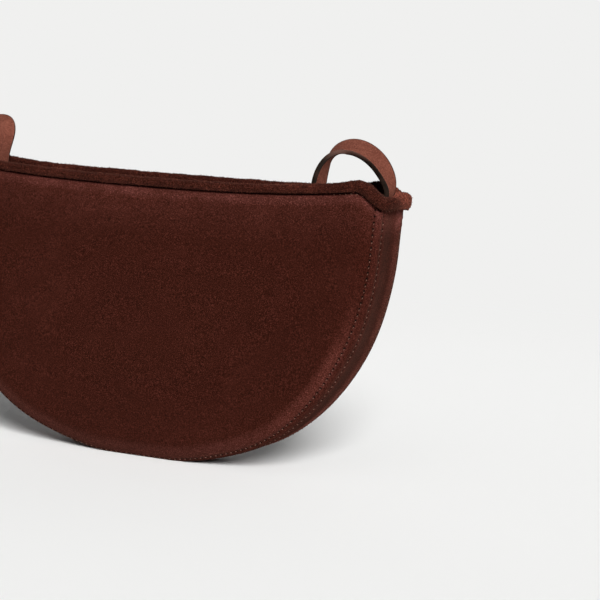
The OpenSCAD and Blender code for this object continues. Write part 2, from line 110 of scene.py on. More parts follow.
def linear(red, green, blue):
    """A screen colour of 0 to 255 as linear light: c/12.92 when dark, else ((c + 0.055)/1.055)^2.4."""
    shares = [v / 255 for v in (red, green, blue)]
    return [v / 12.92 if v <= 0.04045 else ((v + 0.055) / 1.055) ** 2.4 for v in shares]


def colour(name, screen, description):
    """A colour given as screen values and kept as linear light."""
    return FloatVectorProperty(name=name, description=description, default=linear(*screen),
                               subtype="COLOR", size=3, min=0.0, max=1.0)


class BagSizes(bpy.types.PropertyGroup):
    """Sizes of the bag's soft pieces"""
    half_length: length("Half length", 0.1685, "Middle of the bag to the end of the gusset")
    moon_height: length("Widest height", 0.175, "Height at which the half moon is widest")
    fullness: number("Fullness", 2.6, "Power of the curved bottom, where 2 is an ellipse")
    settle: length("Settle", 0.0006, "How much of the curve the weight has flattened")
    waist: length("Waist", 0.0009, "How far the ends are drawn in below the rim")
    hip: length("Hip", 0.0011, "How far the ends are pushed out at half of the height")
    bilge: length("Bilge", 0.0014, "How far the curve is lifted to both sides of the middle of the bottom")
    seam_depth: length("Seam depth", 0.032, "Front seam to back seam")
    tuck: length("Tuck", 0.0012, "How far each seam is drawn in under the bag")
    shoulder_height: length("Shoulder", 0.0055, "How far a wall stands out past its seam")
    shoulder_width: length("Shoulder width", 0.014, "Width of the rounded edge along a seam")
    belly: length("Belly", 0.0035, "Further swell of a wall at its middle")
    softness: length("Softness", 0.0004, "Height of the long soft waves in a wall")
    rim_over: length("Rim over", 0.0015, "Middle of the rim above the widest height")
    rim_rise: length("Rim rise", 0.0086, "Rise of the rim toward its ends")
    corner_drop: length("Corner drop", 0.0124, "Drop of the rim from a wall to the gusset")
    drop_from: length("Drop from", 0.0157, "Distance from the end where the drop starts")
    drop_length: length("Drop length", 0.0205, "Length of rim that takes the drop")
    back_dip: length("Back dip", 0.0021, "How much lower the rim of the back wall lies toward its corners")
    binding_width: length("Binding width", 0.0076, "Width of the padded binding at its middle")
    binding_height: length("Binding height", 0.0052, "Height of the padded binding at its middle")
    binding_leather: length("Binding leather", 0.0012, "Thickness of the binding's suede")
    binding_out: length("Binding out", 0.0055, "How far the binding stands out past the gusset")
    leather: length("Wall leather", 0.0014, "Thickness of the walls' suede")
    gusset_leather: length("Gusset leather", 0.0016, "Thickness of the gusset's suede")
    gusset_puff: length("Gusset puff", 0.0010, "Rise of the gusset beside each seam")
    board: length("Board", 0.0008, "Thickness of the stiffening board")
    lining: length("Lining", 0.0006, "Thickness of the lining cloth")
    facing: length("Facing", 0.0012, "Thickness of the suede facing inside the rim")
    facing_height: length("Facing height", 0.028, "Height of the facing")
    layer_room: length("Layer room", 0.0003, "Room between two layers")
    row_inset: length("Stitch row", 0.0030, "Seam to the stitches on the wall")
    gusset_row: length("Gusset stitch row", 0.0034, "Seam to the stitches on the gusset")
    stitch: length("Stitch", 0.0039, "Length of one stitch")
    thread: length("Thread", 0.0005, "Thickness of the sewing thread")
    strap_width: length("Strap width", 0.0148, "Width of the strap")
    strap_layer: length("Strap layer", 0.0015, "Thickness of one layer of the strap")
    strap_tail: length("Strap tail", 0.022, "Length of strap sewn to the gusset")
    arch_foot: length("Arch foot", 0.0076, "Height of the arch's foot over the gusset")
    arch_lean: length("Arch lean", 0.0046, "Lean of the strap out over the gusset")
    arch_rise: length("Arch rise", 0.0283, "Rise of the arch above its foot")
    arch_out: length("Arch outer span", 0.0337, "Foot of the arch to its top")
    arch_in: length("Arch inner span", 0.0130, "Top of the arch to the tucked part")
    arch_back: length("Arch back", 0.0098, "How far the top of the arch leans back")
    limb_front: length("Limb forward", 0.0064, "Tucked part before the middle at the mouth")
    arch_power: number("Arch power", 1.79, "Power of the arch's outer quarter, where 2 is an ellipse")
    arch_in_power: number("Arch inner power", 2.3, "Power of the arch's inner quarter")
    arch_turn: turn("Arch turn", 28.6, "Tilt of the strap at the top of its arch")
    foot_turn: turn("Foot turn", 14, "Twist of the strap at the foot of its arch")
    limb_turn: turn("Limb turn", -2, "Twist of the tucked part at the mouth")
    loop_half: length("Loop half length", 0.1145, "Half length of the loop that lies in the bag")
    loop_height: length("Loop height", 0.100, "Height of the loop that lies in the bag")


class BagFinish(bpy.types.PropertyGroup):
    """Colours of the bag's leathers, cloths and thread"""
    suede: colour("Suede", (42, 15, 9), "Walls and gusset")
    suede_light: colour("Suede, raised nap", (70, 33, 26), "Where the nap is brushed up or rubbed")
    suede_dark: colour("Suede, laid nap", (23, 7, 4), "Where the nap lies down")
    binding: colour("Binding suede", (38, 15, 10), "Padded binding of the rim")
    binding_light: colour("Binding suede, raised nap", (82, 41, 32), "Where its nap is rubbed")
    binding_dark: colour("Binding suede, laid nap", (20, 6, 4), "Where its nap lies down")
    facing: colour("Facing suede", (84, 42, 33), "Facings inside the rim and patches of the strap")
    facing_light: colour("Facing suede, raised nap", (106, 58, 47), "Where its nap is brushed up")
    facing_dark: colour("Facing suede, laid nap", (60, 28, 21), "Where its nap lies down")
    strap: colour("Strap suede", (98, 55, 44), "Upper face of the strap")
    strap_light: colour("Strap suede, raised nap", (130, 79, 65), "Where its nap is brushed up or rubbed")
    strap_dark: colour("Strap suede, laid nap", (74, 38, 29), "Where its nap lies down")
    edge_paint: colour("Edge paint", (20, 13, 7), "Painted edges of the strap")
    lining: colour("Lining", (112, 84, 66), "Woven lining")
    thread: colour("Thread", (110, 76, 65), "Sewing thread")
    brass: colour("Brass", (190, 160, 110), "Zip teeth, slider and puller")
    nickel: colour("Nickel", (190, 186, 178), "Magnetic snap")


class BagStudio(bpy.types.PropertyGroup):
    """Camera and light"""
    camera_turn: turn("Camera turn", 28, "Turn of the camera from the front wall toward the right end")
    camera_down: turn("Camera tilt", 7.39, "How far the camera looks down")
    camera_roll: turn("Camera roll", 2.177, "Roll of the camera about its axis")
    camera_far: length("Camera distance", 1.488, "Camera to the point that it looks at")
    lens: number("Lens", 144, "Focal length in millimetres on a sensor 36 mm wide")
    look_x: FloatProperty(name="Look at X", description="Point that the camera looks at", default=0.114867,
                          precision=5, unit="LENGTH", subtype="DISTANCE")
    look_y: FloatProperty(name="Look at Y", description="Point that the camera looks at", default=-0.016,
                          precision=5, unit="LENGTH", subtype="DISTANCE")
    look_z: FloatProperty(name="Look at Z", description="Point that the camera looks at", default=0.112973,
                          precision=5, unit="LENGTH", subtype="DISTANCE")
    key: number("Key light", 5.1, "Strength of the soft light from the front right")
    key_turn: turn("Key turn", 40, "Turn of the key light from the front wall toward the right end")
    key_height: turn("Key height", 29.5, "Height of the key light above the floor")
    key_spread: turn("Key spread", 24, "Width of the key light as seen from the bag")
    fill: number("Top light", 0.3, "Strength of the broad light from above")
    fill_turn: turn("Top light turn", 35, "Turn of the top light from the front wall toward the right end")
    fill_height: turn("Top light height", 55, "Height of the top light above the floor")
    fill_spread: turn("Top light spread", 50, "Width of the top light as seen from the bag")
    sky: number("Sky light", 0.12, "Strength of the even light from all sides")
    paper: colour("Paper", (240, 240, 239), "Floor and background")


def bag_sizes():
    """The bag's sizes, as the panel has them."""
    return bpy.context.scene.bag_sizes


def bag_finish():
    """The bag's colours, as the panel has them."""
    return bpy.context.scene.bag_finish


# ---------------------------------------------------------------- meshes

def grid_quads(rows, cols, ring_rows=False, ring_cols=False):
    """Faces between the neighbouring places of a grid that is numbered row by row.
    A ring joins the last line to the first."""
    r, c = np.meshgrid(np.arange(rows if ring_rows else rows - 1),
                       np.arange(cols if ring_cols else cols - 1), indexing="ij")
    r2, c2 = (r + 1) % rows, (c + 1) % cols
    return np.stack([r * cols + c, r * cols + c2, r2 * cols + c2, r2 * cols + c], -1).reshape(-1, 4)


def shell_quads(rows, cols):
    """Faces of a closed shell: an outer skin, an inner skin turned the other way, and the border that
    joins them all the way round."""
    outer = grid_quads(rows, cols)
    n = rows * cols
    top = np.arange(cols)
    right = np.arange(1, rows) * cols + cols - 1
    bottom = (rows - 1) * cols + np.arange(cols - 2, -1, -1)
    left = np.arange(rows - 2, 0, -1) * cols
    ring = np.concatenate([top, right, bottom, left])
    after = np.roll(ring, -1)
    border = np.stack([after, ring, ring + n, after + n], -1)
    return np.concatenate([outer, outer[:, ::-1] + n, border])


def turned_outward(points, faces):
    """Faces in the order that makes the closed mesh's volume positive: the sum over triangles of
    a . (b x c) / 6."""
    total = 0.0
    for some in faces:
        a = points[some[:, 0]]
        for k in range(1, some.shape[1] - 1):
            total += np.einsum("ij,ij->", a, np.cross(points[some[:, k]], points[some[:, k + 1]]))
    return faces if total > 0 else [some[:, ::-1] for some in faces]


def new_piece(name, points, faces, material, maps=None, replaces=()):
    """A mesh piece at the origin from arrays: points (n, 3), a list of face arrays and named UV maps
    with one place for each point. It is smooth, faces outward, and rides on the bag."""
    points = np.asarray(points, float).reshape(-1, 3)
    faces = [np.asarray(f, np.int64) for f in (faces if isinstance(faces, list) else [faces])]
    faces = turned_outward(points, faces)
    mesh = bpy.data.meshes.new(name)
    loops = np.concatenate([f.ravel() for f in faces])
    sides = np.concatenate([np.full(len(f), f.shape[1]) for f in faces])
    mesh.vertices.add(len(points))
    mesh.vertices.foreach_set("co", points.ravel())
    mesh.loops.add(len(loops))
    mesh.loops.foreach_set("vertex_index", loops.astype(np.int32))
    mesh.polygons.add(len(sides))
    mesh.polygons.foreach_set("loop_start", (np.cumsum(sides) - sides).astype(np.int32))
    mesh.update(calc_edges=True)
    mesh.polygons.foreach_set("use_smooth", np.ones(len(sides), bool))
    for label, places in (maps or {}).items():
        layer = mesh.uv_layers.new(name=label)
        layer.data.foreach_set("uv", np.asarray(places, float).reshape(-1, 2)[loops].ravel())
    mesh.materials.append(material)
    mesh.validate()
    piece = bpy.data.objects.new(name, mesh)
    bpy.context.scene.collection.objects.link(piece)
    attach(piece, BODY)
    if replaces:
        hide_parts(*replaces)
    return piece


def flat_map(u, v, skins=1):
    """A map with one place for each point: two arrays that broadcast together, once for each skin."""
    return np.tile(np.stack(np.broadcast_arrays(u, v), -1).reshape(-1, 2), (skins, 1))


def unit(v):
    """Vectors of length one along the last axis."""
    return v / np.maximum(np.linalg.norm(v, axis=-1, keepdims=True), 1e-12)


def smooth_step(t):
    """Rises from 0 to 1 as 3t^2 - 2t^3."""
    t = np.clip(t, 0, 1)
    return t * t * (3 - 2 * t)


def hump(t, middle, width):
    """A bell: exp(-((t - middle) / width)^2)."""
    return np.exp(-((t - middle) / width) ** 2)


def ring_tube(path, side, up, section, closed):
    """Carries a section along a path. path, side and up are (n, 3); section is (n, m, 2) or (m, 2), with
    its first number along side and its second along up. Returns points and quads, capped when open."""
    section = np.broadcast_to(section, (len(path),) + section.shape[-2:])
    points = (path[:, None] + side[:, None] * section[..., :1] + up[:, None] * section[..., 1:])
    n, m = points.shape[:2]
    faces = [grid_quads(n, m, ring_rows=closed, ring_cols=True)]
    if not closed:
        faces += [np.arange(m)[None, ::-1], (n - 1) * m + np.arange(m)[None]]
    return points.reshape(-1, 3), faces


# ---------------------------------------------------------------- the bag's form

def half_moon(s, step=0.0005):
    """Outline of the half moon as a table by length along it, from the middle of the bottom.
    x = half length * sin(a)^(2 / fullness), z = height * (1 - cos a) - settle, not below the floor,
    then straight up. It is lifted by bilge and drawn in and pushed out by waist and hip, each along its own
    bell. The outward normal is the direction of travel turned clockwise."""
    a = math.pi / 2 * np.linspace(0, 1, 6001) ** 1.3
    x = s.half_length * np.sin(a) ** (2 / s.fullness)
    z = np.maximum(0, s.moon_height * (1 - np.cos(a)) - s.settle)
    x = np.append(x, [s.half_length] * 2)
    z = np.append(z, [s.moon_height + 0.01, s.moon_height + 0.03])
    z = z + s.bilge * hump(x, *BILGE_AT)
    x = x - s.waist * hump(z, *WAIST_AT) + s.hip * hump(z, *HIP_AT)
    along = np.append(0, np.cumsum(np.hypot(np.diff(x), np.diff(z))))
    even = np.arange(0, along[-1], step)
    x, z = np.interp(even, along, x), np.interp(even, along, z)
    even = np.append(-even[:0:-1], even)
    x, z = np.append(-x[:0:-1], x), np.append(z[:0:-1], z)
    tx, tz = np.gradient(x, step), np.gradient(z, step)
    g = np.hypot(tx, tz)
    return {"along": even, "x": x, "z": z, "nx": tz / g, "nz": -tx / g}


def on_outline(moon, along):
    """Places and outward normals of the outline at lengths along it: x, z, nx, nz."""
    return [np.interp(along, moon["along"], moon[k]) for k in ("x", "z", "nx", "nz")]


def length_at_height(moon, height):
    """Length along the right half of the outline at which it reaches a height."""
    right = moon["along"] > 0.02
    return float(np.interp(height, moon["z"][right], moon["along"][right]))


def side_x(s, z):
    """Half length of the bag at a height: half length * (1 - (1 - (z + settle) / height)^2)^(1 / fullness),
    less the waist and plus the hip."""
    z = np.asarray(z, float)
    v = np.clip(1 - (z + s.settle) / s.moon_height, 0, 1)
    x = s.half_length * (1 - v * v) ** (1 / s.fullness)
    return x - s.waist * hump(z, *WAIST_AT) + s.hip * hump(z, *HIP_AT)


def seam_place(moon, x, z):
    """For places in the plane of the half moon: length along the outline of the nearest place on it, and
    the distance inside it. The nearest of coarse samples is bettered twice by a step along the outline."""
    x, z = np.asarray(x, float), np.asarray(z, float)
    coarse = slice(None, None, 6)
    sx, sz, sl = moon["x"][coarse], moon["z"][coarse], moon["along"][coarse]
    flat_x, flat_z = x.ravel(), z.ravel()
    along = np.empty(flat_x.size)
    for i in range(0, flat_x.size, 8000):
        part = slice(i, i + 8000)
        far = (flat_x[part, None] - sx) ** 2 + (flat_z[part, None] - sz) ** 2
        along[part] = sl[np.argmin(far, 1)]
    for _ in range(2):
        qx, qz, nx, nz = on_outline(moon, along)
        step = (flat_x - qx) * -nz + (flat_z - qz) * nx
        along = along + np.clip(step, -0.003, 0.003)
    qx, qz, nx, nz = on_outline(moon, along)
    inset = (qx - flat_x) * nx + (qz - flat_z) * nz
    return along.reshape(x.shape), inset.reshape(x.shape)


def gusset_top(s):
    """Height of the gusset's ends, under the binding."""
    return s.moon_height + s.rim_over + s.rim_rise - s.corner_drop


def wall_stack(s):
    """Distance from a wall's outer face to the inner face of its facing."""
    return s.leather + s.board + 2 * s.layer_room + s.facing


def gusset_stack(s):
    """Distance from the gusset's outer face to the inner face of its lining."""
    return s.gusset_leather + s.board + s.lining + 2 * s.layer_room


def rim_edges(s):
    """Half length and half width of the loop that the middle of the binding follows."""
    return (s.half_length + s.binding_out - s.binding_width / 2,
            s.seam_depth / 2 + s.shoulder_height - wall_stack(s) / 2)


def rim_side(s, x):
    """Half width of the rim's loop at x: |x / ex|^60 + |y / ey|^2.5 = 1."""
    ex, ey = rim_edges(s)
    return ey * np.maximum(0, 1 - (np.abs(x) / ex) ** 60) ** 0.4


def rim_height(s, x, y):
    """Height of the rim: it rises with |x|^2.6, and drops at the corners along a smooth step, which starts
    sooner at the back. Toward its corners, before it drops, the back lies lower."""
    ex, ey = rim_edges(s)
    back = smooth_step(y / ey)
    reach = np.abs(x) - s.half_length + s.drop_from + 0.0046 * back + np.maximum(0, ey - np.abs(y))
    dip = s.back_dip * back * (smooth_step((np.abs(x) - 0.03) / 0.115) - 0.05)
    drop = smooth_step(reach / s.drop_length)
    return (s.moon_height + s.rim_over + s.rim_rise * np.minimum(1, (np.abs(x) / s.half_length) ** 2.6)
            - s.corner_drop * drop - dip * (1 - drop))


def wall_rim(s, x, side):
    """Height of a wall's upper edge at x; side is -1 for the front wall and 1 for the back wall."""
    y = np.maximum(s.seam_depth / 2, rim_side(s, x))
    return rim_height(s, x, side * y)


def soft_waves(x, z, side):
    """Long soft waves of a wall, a sum of sines of 70 to 190 mm with no period in common."""
    x = x * side + 0.4
    return (0.45 * np.sin(2 * np.pi * (x / 0.128 + 0.18 * np.sin(2 * np.pi * z / 0.19)) + 0.6)
            + 0.35 * np.sin(2 * np.pi * (0.8 * x + 0.6 * z) / 0.083 + 2.1)
            + 0.30 * np.sin(2 * np.pi * (0.5 * x - 0.9 * z) / 0.107 + 4.0)
            + 0.22 * np.sin(2 * np.pi * (0.3 * x + 1.0 * z) / 0.071 + 1.0))


def seam_half(s, along):
    """Half of the depth from seam to seam, which narrows by tuck under the bag."""
    return s.seam_depth / 2 - s.tuck * (1 - smooth_step((np.abs(along) - 0.05) / 0.10))


def row_place(s, along):
    """Distance from a seam to the stitches on the wall: it narrows to 0.4 of itself under the bag."""
    return s.row_inset * (0.4 + 0.6 * smooth_step((np.abs(along) - 0.07) / 0.12))


def wall_out(s, moon, x, z, side):
    """How far a wall stands out from the middle plane, with its seam map and rim distance: half the depth
    between the seams, plus the shoulder's rise over it * (1 - q^2), where q falls from 1 at the seam to 0
    at the shoulder's width, plus belly * (1 - u^2) * 4 w (1 - w), plus soft waves; less a pull-in under
    the binding with small puckers, a crease at the seam and a dent along the stitches."""
    along, inset = seam_place(moon, x, z)
    q = np.clip(1 - inset / s.shoulder_width, 0, 1)
    free = 1 - q * q
    u = np.clip(np.abs(x) / s.half_length, 0, 1)
    w = np.clip(z / s.moon_height, 0, 1)
    below_rim = wall_rim(s, x, side) - z
    near_rim = np.maximum(below_rim, 0)
    seam = seam_half(s, along)
    out = seam + (s.seam_depth / 2 + s.shoulder_height - seam) * free
    out = out + s.belly * (1 - u * u) * 4 * w * (1 - w)
    out = out + s.softness * free * smooth_step(near_rim / 0.02) * soft_waves(x, z, side)
    out = out - free * sum(deep * np.exp(-(near_rim / reach) ** 2) for deep, reach in PULL_IN)
    pucker = np.sin(2 * np.pi * (x / PUCKER_LENGTH + 0.3 * np.sin(x / 0.021)))
    out = out + PUCKER_HEIGHT * free * np.exp(-near_rim / 0.008) * pucker
    out = out - SEAM_CREASE * hump(inset, 0, 0.0006)
    out = out - ROW_DENT * hump(inset, row_place(s, along), ROW_WIDTH)
    return out, along, inset, below_rim


def wall_grid(s, moon, cols, rows, inset, down, side, end_share):
    """Places on a wall, (rows, cols) of x and z. Columns run from the rim to the outline, each a straight
    line between sin-spaced places on the rim and even places on the outline; rows crowd toward both ends.
    Near the ends each row is stretched so that its last place lies on the outline."""
    end = length_at_height(moon, end_share * s.moon_height)
    t = np.linspace(-1, 1, cols)
    qx, qz, nx, nz = on_outline(moon, t * end)
    qx, qz = qx - nx * inset, qz - nz * inset
    edge_z = float(wall_rim(s, np.array(s.half_length), side)) - down
    share = np.sin(t * math.pi / 2)
    rx = share * (side_x(s, edge_z) - inset)
    grip = 0.0012 - 0.0014 * smooth_step((np.abs(share) - 0.72) / 0.1)
    rz = wall_rim(s, share * s.half_length, side) - down + (grip if down == 0 else 0)
    r = ((1 - np.cos(math.pi * np.linspace(0, 1, rows))) / 2)[:, None]
    x, z = rx * (1 - r) + qx * r, rz * (1 - r) + qz * r
    line_x = np.interp(z, z[::-1, -1], x[::-1, -1])
    high = z > z[-1, -1]
    stretch = np.where(high, (side_x(s, z) - inset) / line_x, 1)
    return x * (1 + (stretch - 1) * t ** 4), z


def wall_sheet(s, moon, x, z, side, near, far):
    """Points of a closed sheet over a grid of places, between two distances inward from the wall's outer
    face, with its seam map, its rim map and its stitch map, which holds the distance from the stitches."""
    out, along, inset, below = wall_out(s, moon, x, z, side)
    skins = [np.stack([x, side * (out - d), z], -1).reshape(-1, 3) for d in (near, far)]
    return (np.concatenate(skins), shell_quads(*x.shape),
            {"seam": flat_map(along, inset, 2), "rim": flat_map(x, below, 2),
             "stitch": flat_map(along, inset - row_place(s, along), 2)})


def gusset_rise(s, along, y, x, z):
    """Rise of the gusset over the outline: a soft roll beside each seam with its top at 0.62 of the half
    width, a shallow valley between the rolls, and at the right a small slanting crease with a fold above
    and below it, which runs in from the back seam."""
    v = np.abs(y) / (s.seam_depth / 2)
    inner = 1 - 0.5 * (1 - np.minimum(1, v / 0.62) ** 2) ** 2
    outer = 1 - (np.maximum(0, v - 0.62) / 0.38) ** 2
    rise = s.gusset_puff * np.where(v > 0.62, outer, inner)
    rise = rise * (1 + 0.25 * np.sin(along / 0.019 + 1.3 * np.sin(along / 0.031)) * np.sign(y) * v)
    row = s.seam_depth / 2 - s.gusset_row
    rise = rise - SEAM_CREASE * hump(v, 1, 0.04) - ROW_DENT * hump(np.abs(y), row, ROW_WIDTH)
    slant = z - CREASE_Z - 0.67 * (y - CREASE_Y)
    crease = (0.0004 * hump(slant, 0.0020, 0.0013) + 0.0003 * hump(slant, -0.0022, 0.0015)
              - CREASE_DEPTH * hump(slant, 0, 0.0010))
    ends = smooth_step((y - 0.0065) / 0.003) * (1 - smooth_step((y - 0.0140) / 0.0018))
    return rise + crease * (x > 0) * ends


def on_gusset(s, moon, along, y, inward=0.0):
    """Points of the gusset at lengths along the outline and places across, some way inward from its
    outer face, never below the floor."""
    x, z, nx, nz = on_outline(moon, along)
    e = (gusset_rise(s, along, y, x, z) if inward < 0.001 else 0) - inward
    return np.stack([x + nx * e, y * seam_half(s, along) / (s.seam_depth / 2),
                     np.maximum(z + nz * e, 0.0)], -1)


def on_wall(s, moon, along, inset, side):
    """Points on a wall's outer face at a length along the outline and a distance inside it."""
    x, z, nx, nz = on_outline(moon, along)
    x, z = x - nx * inset, z - nz * inset
    out = wall_out(s, moon, x, z, side)[0]
    return np.stack([x, side * out, z], -1)


def ring_path(s, count):
    """The rim's loop, evenly spaced and anticlockwise from above: points, outward sides and ups."""
    ex, ey = rim_edges(s)
    turn_x = 0.955 * ex
    x = np.append(np.linspace(0, turn_x, 400), np.zeros(200))
    y = rim_side(s, x)
    y[400:] = y[399] * np.linspace(1, 0, 201)[1:]
    x[400:] = ex * np.maximum(0, 1 - (y[400:] / ey) ** 2.5) ** (1 / 60)
    loop = np.concatenate([np.stack([x, -y], -1), np.stack([x, y], -1)[-2::-1],
                           np.stack([-x, y], -1)[1:], np.stack([-x, -y], -1)[-2:0:-1]])
    loop = np.column_stack([loop, rim_height(s, loop[:, 0], loop[:, 1])])
    closed = np.vstack([loop, loop[:1]])
    along = np.append(0, np.cumsum(np.linalg.norm(np.diff(closed, axis=0), axis=1)))
    even = np.linspace(0, along[-1], count, endpoint=False)
    path = np.stack([np.interp(even, along, closed[:, k]) for k in range(3)], -1)
    way = unit(np.roll(path, -1, 0) - np.roll(path, 1, 0))
    side = unit(np.stack([way[:, 1], -way[:, 0], 0 * way[:, 0]], -1))
    return path, side, np.cross(side, way), even


# ---------------------------------------------------------------- finishes

def node_of(tree, kind, **values):
    """A node with its settings; names that match an input set that input, the rest are attributes."""
    node = tree.nodes.new(kind)
    for name, value in values.items():
        label = name.replace("_", " ")
        if label in node.inputs:
            node.inputs[label].default_value = value
        else:
            setattr(node, name, value)
    return node


def mathed(tree, operation, first, second=None, clamp=False):
    """A Math node of two values, each a number or a socket."""
    node = tree.nodes.new("ShaderNodeMath")
    node.operation = operation
    node.use_clamp = clamp
    for k, value in enumerate((first, second)):
        if value is None:
            continue
        if isinstance(value, (int, float)):
            node.inputs[k].default_value = value
        else:
            tree.links.new(value, node.inputs[k])
    return node.outputs[0]


def ranged(tree, value, low, high, to_low=0.0, to_high=1.0):
    """A smooth Map Range of a socket; the four limits are numbers or sockets."""
    node = tree.nodes.new("ShaderNodeMapRange")
    node.interpolation_type = "SMOOTHSTEP"
    tree.links.new(value, node.inputs["Value"])
    for name, limit in (("From Min", low), ("From Max", high), ("To Min", to_low), ("To Max", to_high)):
        if isinstance(limit, (int, float)):
            node.inputs[name].default_value = limit
        else:
            tree.links.new(limit, node.inputs[name])
    return node.outputs["Result"]


def mixed(tree, share, first, second, blend="MIX"):
    """A colour mix; each value is a colour or a socket."""
    node = tree.nodes.new("ShaderNodeMix")
    node.data_type = "RGBA"
    node.blend_type = blend
    for socket, value in ((node.inputs[0], share), (node.inputs[6], first), (node.inputs[7], second)):
        if isinstance(value, (int, float)):
            socket.default_value = value
        elif hasattr(value, "is_linked"):
            tree.links.new(value, socket)
        else:
            socket.default_value = (*value, 1.0)
    return node.outputs[2]


def new_group(name, inputs, outputs):
    """An empty shader node group; inputs and outputs are lists of (name, kind, default)."""
    group = bpy.data.node_groups.new(name, "ShaderNodeTree")
    for direction, sockets in (("INPUT", inputs), ("OUTPUT", outputs)):
        for label, kind, default in sockets:
            socket = group.interface.new_socket(label, in_out=direction, socket_type="NodeSocket" + kind)
            if default is not None:
                socket.default_value = (*default, 1.0) if kind == "Color" else default
    return group, group.nodes.new("NodeGroupInput"), group.nodes.new("NodeGroupOutput")


def suede_nap_group():
    """Nap of suede: patches brushed up or laid down, fine grain and fibre height."""
    group, given, made = new_group(
        "Suede nap",
        [("Vector", "Vector", None), ("Suede", "Color", (0.08, 0.02, 0.015)),
         ("Raised", "Color", (0.14, 0.05, 0.03)), ("Laid", "Color", (0.04, 0.01, 0.008)),
         ("Patch Scale", "Float", 26.0), ("Grain Scale", "Float", 1650.0),
         ("Patchiness", "Float", 0.5), ("Grain", "Float", 0.5)],
        [("Colour", "Color", None), ("Roughness", "Float", None), ("Height", "Float", None)])
    at = given.outputs
    big = node_of(group, "ShaderNodeTexNoise", Detail=4.0, Roughness=0.62, Distortion=0.6)
    small = node_of(group, "ShaderNodeTexNoise", Detail=3.0, Roughness=0.7)
    grain = node_of(group, "ShaderNodeTexNoise", Detail=2.0, Roughness=0.7)
    fibre = node_of(group, "ShaderNodeTexNoise", Detail=2.0, Roughness=0.6)
    for noise in (big, small, grain, fibre):
        group.links.new(at["Vector"], noise.inputs["Vector"])
    group.links.new(at["Patch Scale"], big.inputs["Scale"])
    group.links.new(mathed(group, "MULTIPLY", at["Patch Scale"], 7.0), small.inputs["Scale"])
    group.links.new(at["Grain Scale"], grain.inputs["Scale"])
    group.links.new(mathed(group, "MULTIPLY", at["Grain Scale"], 0.42), fibre.inputs["Scale"])
    patch = mathed(group, "ADD", mathed(group, "MULTIPLY", big.outputs["Fac"], 0.7),
                   mathed(group, "MULTIPLY", small.outputs["Fac"], 0.3))
    up = mathed(group, "MULTIPLY", ranged(group, patch, 0.50, 0.68), at["Patchiness"])
    down = mathed(group, "MULTIPLY", ranged(group, patch, 0.50, 0.34), at["Patchiness"])
    colour_now = mixed(group, up, at["Suede"], at["Raised"])
    colour_now = mixed(group, down, colour_now, at["Laid"])
    speck = mathed(group, "ADD", mathed(group, "MULTIPLY", grain.outputs["Fac"], 0.84),
                   mathed(group, "MULTIPLY", fibre.outputs["Fac"], 0.16))
    colour_now = mixed(group, mathed(group, "MULTIPLY", ranged(group, speck, 0.50, 0.66), at["Grain"]),
                       colour_now, at["Raised"])
    colour_now = mixed(group, mathed(group, "MULTIPLY", ranged(group, speck, 0.50, 0.34), at["Grain"]),
                       colour_now, at["Laid"])
    group.links.new(colour_now, made.inputs["Colour"])
    group.links.new(ranged(group, speck, 0.3, 0.7, 0.98, 0.86), made.inputs["Roughness"])
    group.links.new(speck, made.inputs["Height"])
    return group


def needle_holes_group():
    """Marks of a row of stitches on a stitch map (length, distance): a round hole at the middle of every
    stitch length, and the row's dent."""
    group, given, made = new_group(
        "Needle holes",
        [("Seam", "Vector", None), ("Row", "Float", 0.003), ("Stitch", "Float", 0.0039),
         ("Hole", "Float", 0.0005)],
        [("Hole", "Float", None), ("Dent", "Float", None)])
    at = given.outputs
    split = group.nodes.new("ShaderNodeSeparateXYZ")
    group.links.new(at["Seam"], split.inputs[0])
    place = mathed(group, "FRACT", mathed(group, "DIVIDE", split.outputs[0], at["Stitch"]))
    along = mathed(group, "MULTIPLY", mathed(group, "SUBTRACT", place, 0.5), at["Stitch"])
    across = mathed(group, "SUBTRACT", split.outputs[1], at["Row"])
    far = mathed(group, "SQRT", mathed(group, "ADD", mathed(group, "MULTIPLY", along, along),
                                       mathed(group, "MULTIPLY", across, across)))
    edge = mathed(group, "MULTIPLY", at["Hole"], 1.25)
    core = mathed(group, "MULTIPLY", at["Hole"], 0.55)
    group.links.new(ranged(group, far, edge, core), made.inputs["Hole"])
    wide = mathed(group, "MULTIPLY", at["Hole"], 2.2)
    group.links.new(ranged(group, mathed(group, "ABSOLUTE", across), wide, 0.0), made.inputs["Dent"])
    return group


def ridge_rub_and_painted_light_group():
    """Share of a ridge's colour change, which stands for rubbed nap and also for painted light and painted
    shade: rises from Start to Full and fades from Hold to End, broken up by noise."""
    group, given, made = new_group(
        "Ridge of rub and painted light",
        [("Vector", "Vector", None), ("Distance", "Float", 0.0), ("Start", "Float", 0.0),
         ("Full", "Float", 0.002), ("Hold", "Float", 0.004), ("End", "Float", 0.01),
         ("Noise Scale", "Float", 60.0)],
        [("Share", "Float", None)])
    at = given.outputs
    noise = node_of(group, "ShaderNodeTexNoise", Detail=3.0, Roughness=0.6)
    group.links.new(at["Vector"], noise.inputs["Vector"])
    group.links.new(at["Noise Scale"], noise.inputs["Scale"])
    rise = ranged(group, at["Distance"], at["Start"], at["Full"])
    fall = ranged(group, at["Distance"], at["End"], at["Hold"])
    share = mathed(group, "MULTIPLY", rise, fall)
    broken = ranged(group, noise.outputs["Fac"], 0.25, 0.75, 0.55, 1.0)
    group.links.new(mathed(group, "MULTIPLY", share, broken), made.inputs["Share"])
    return group


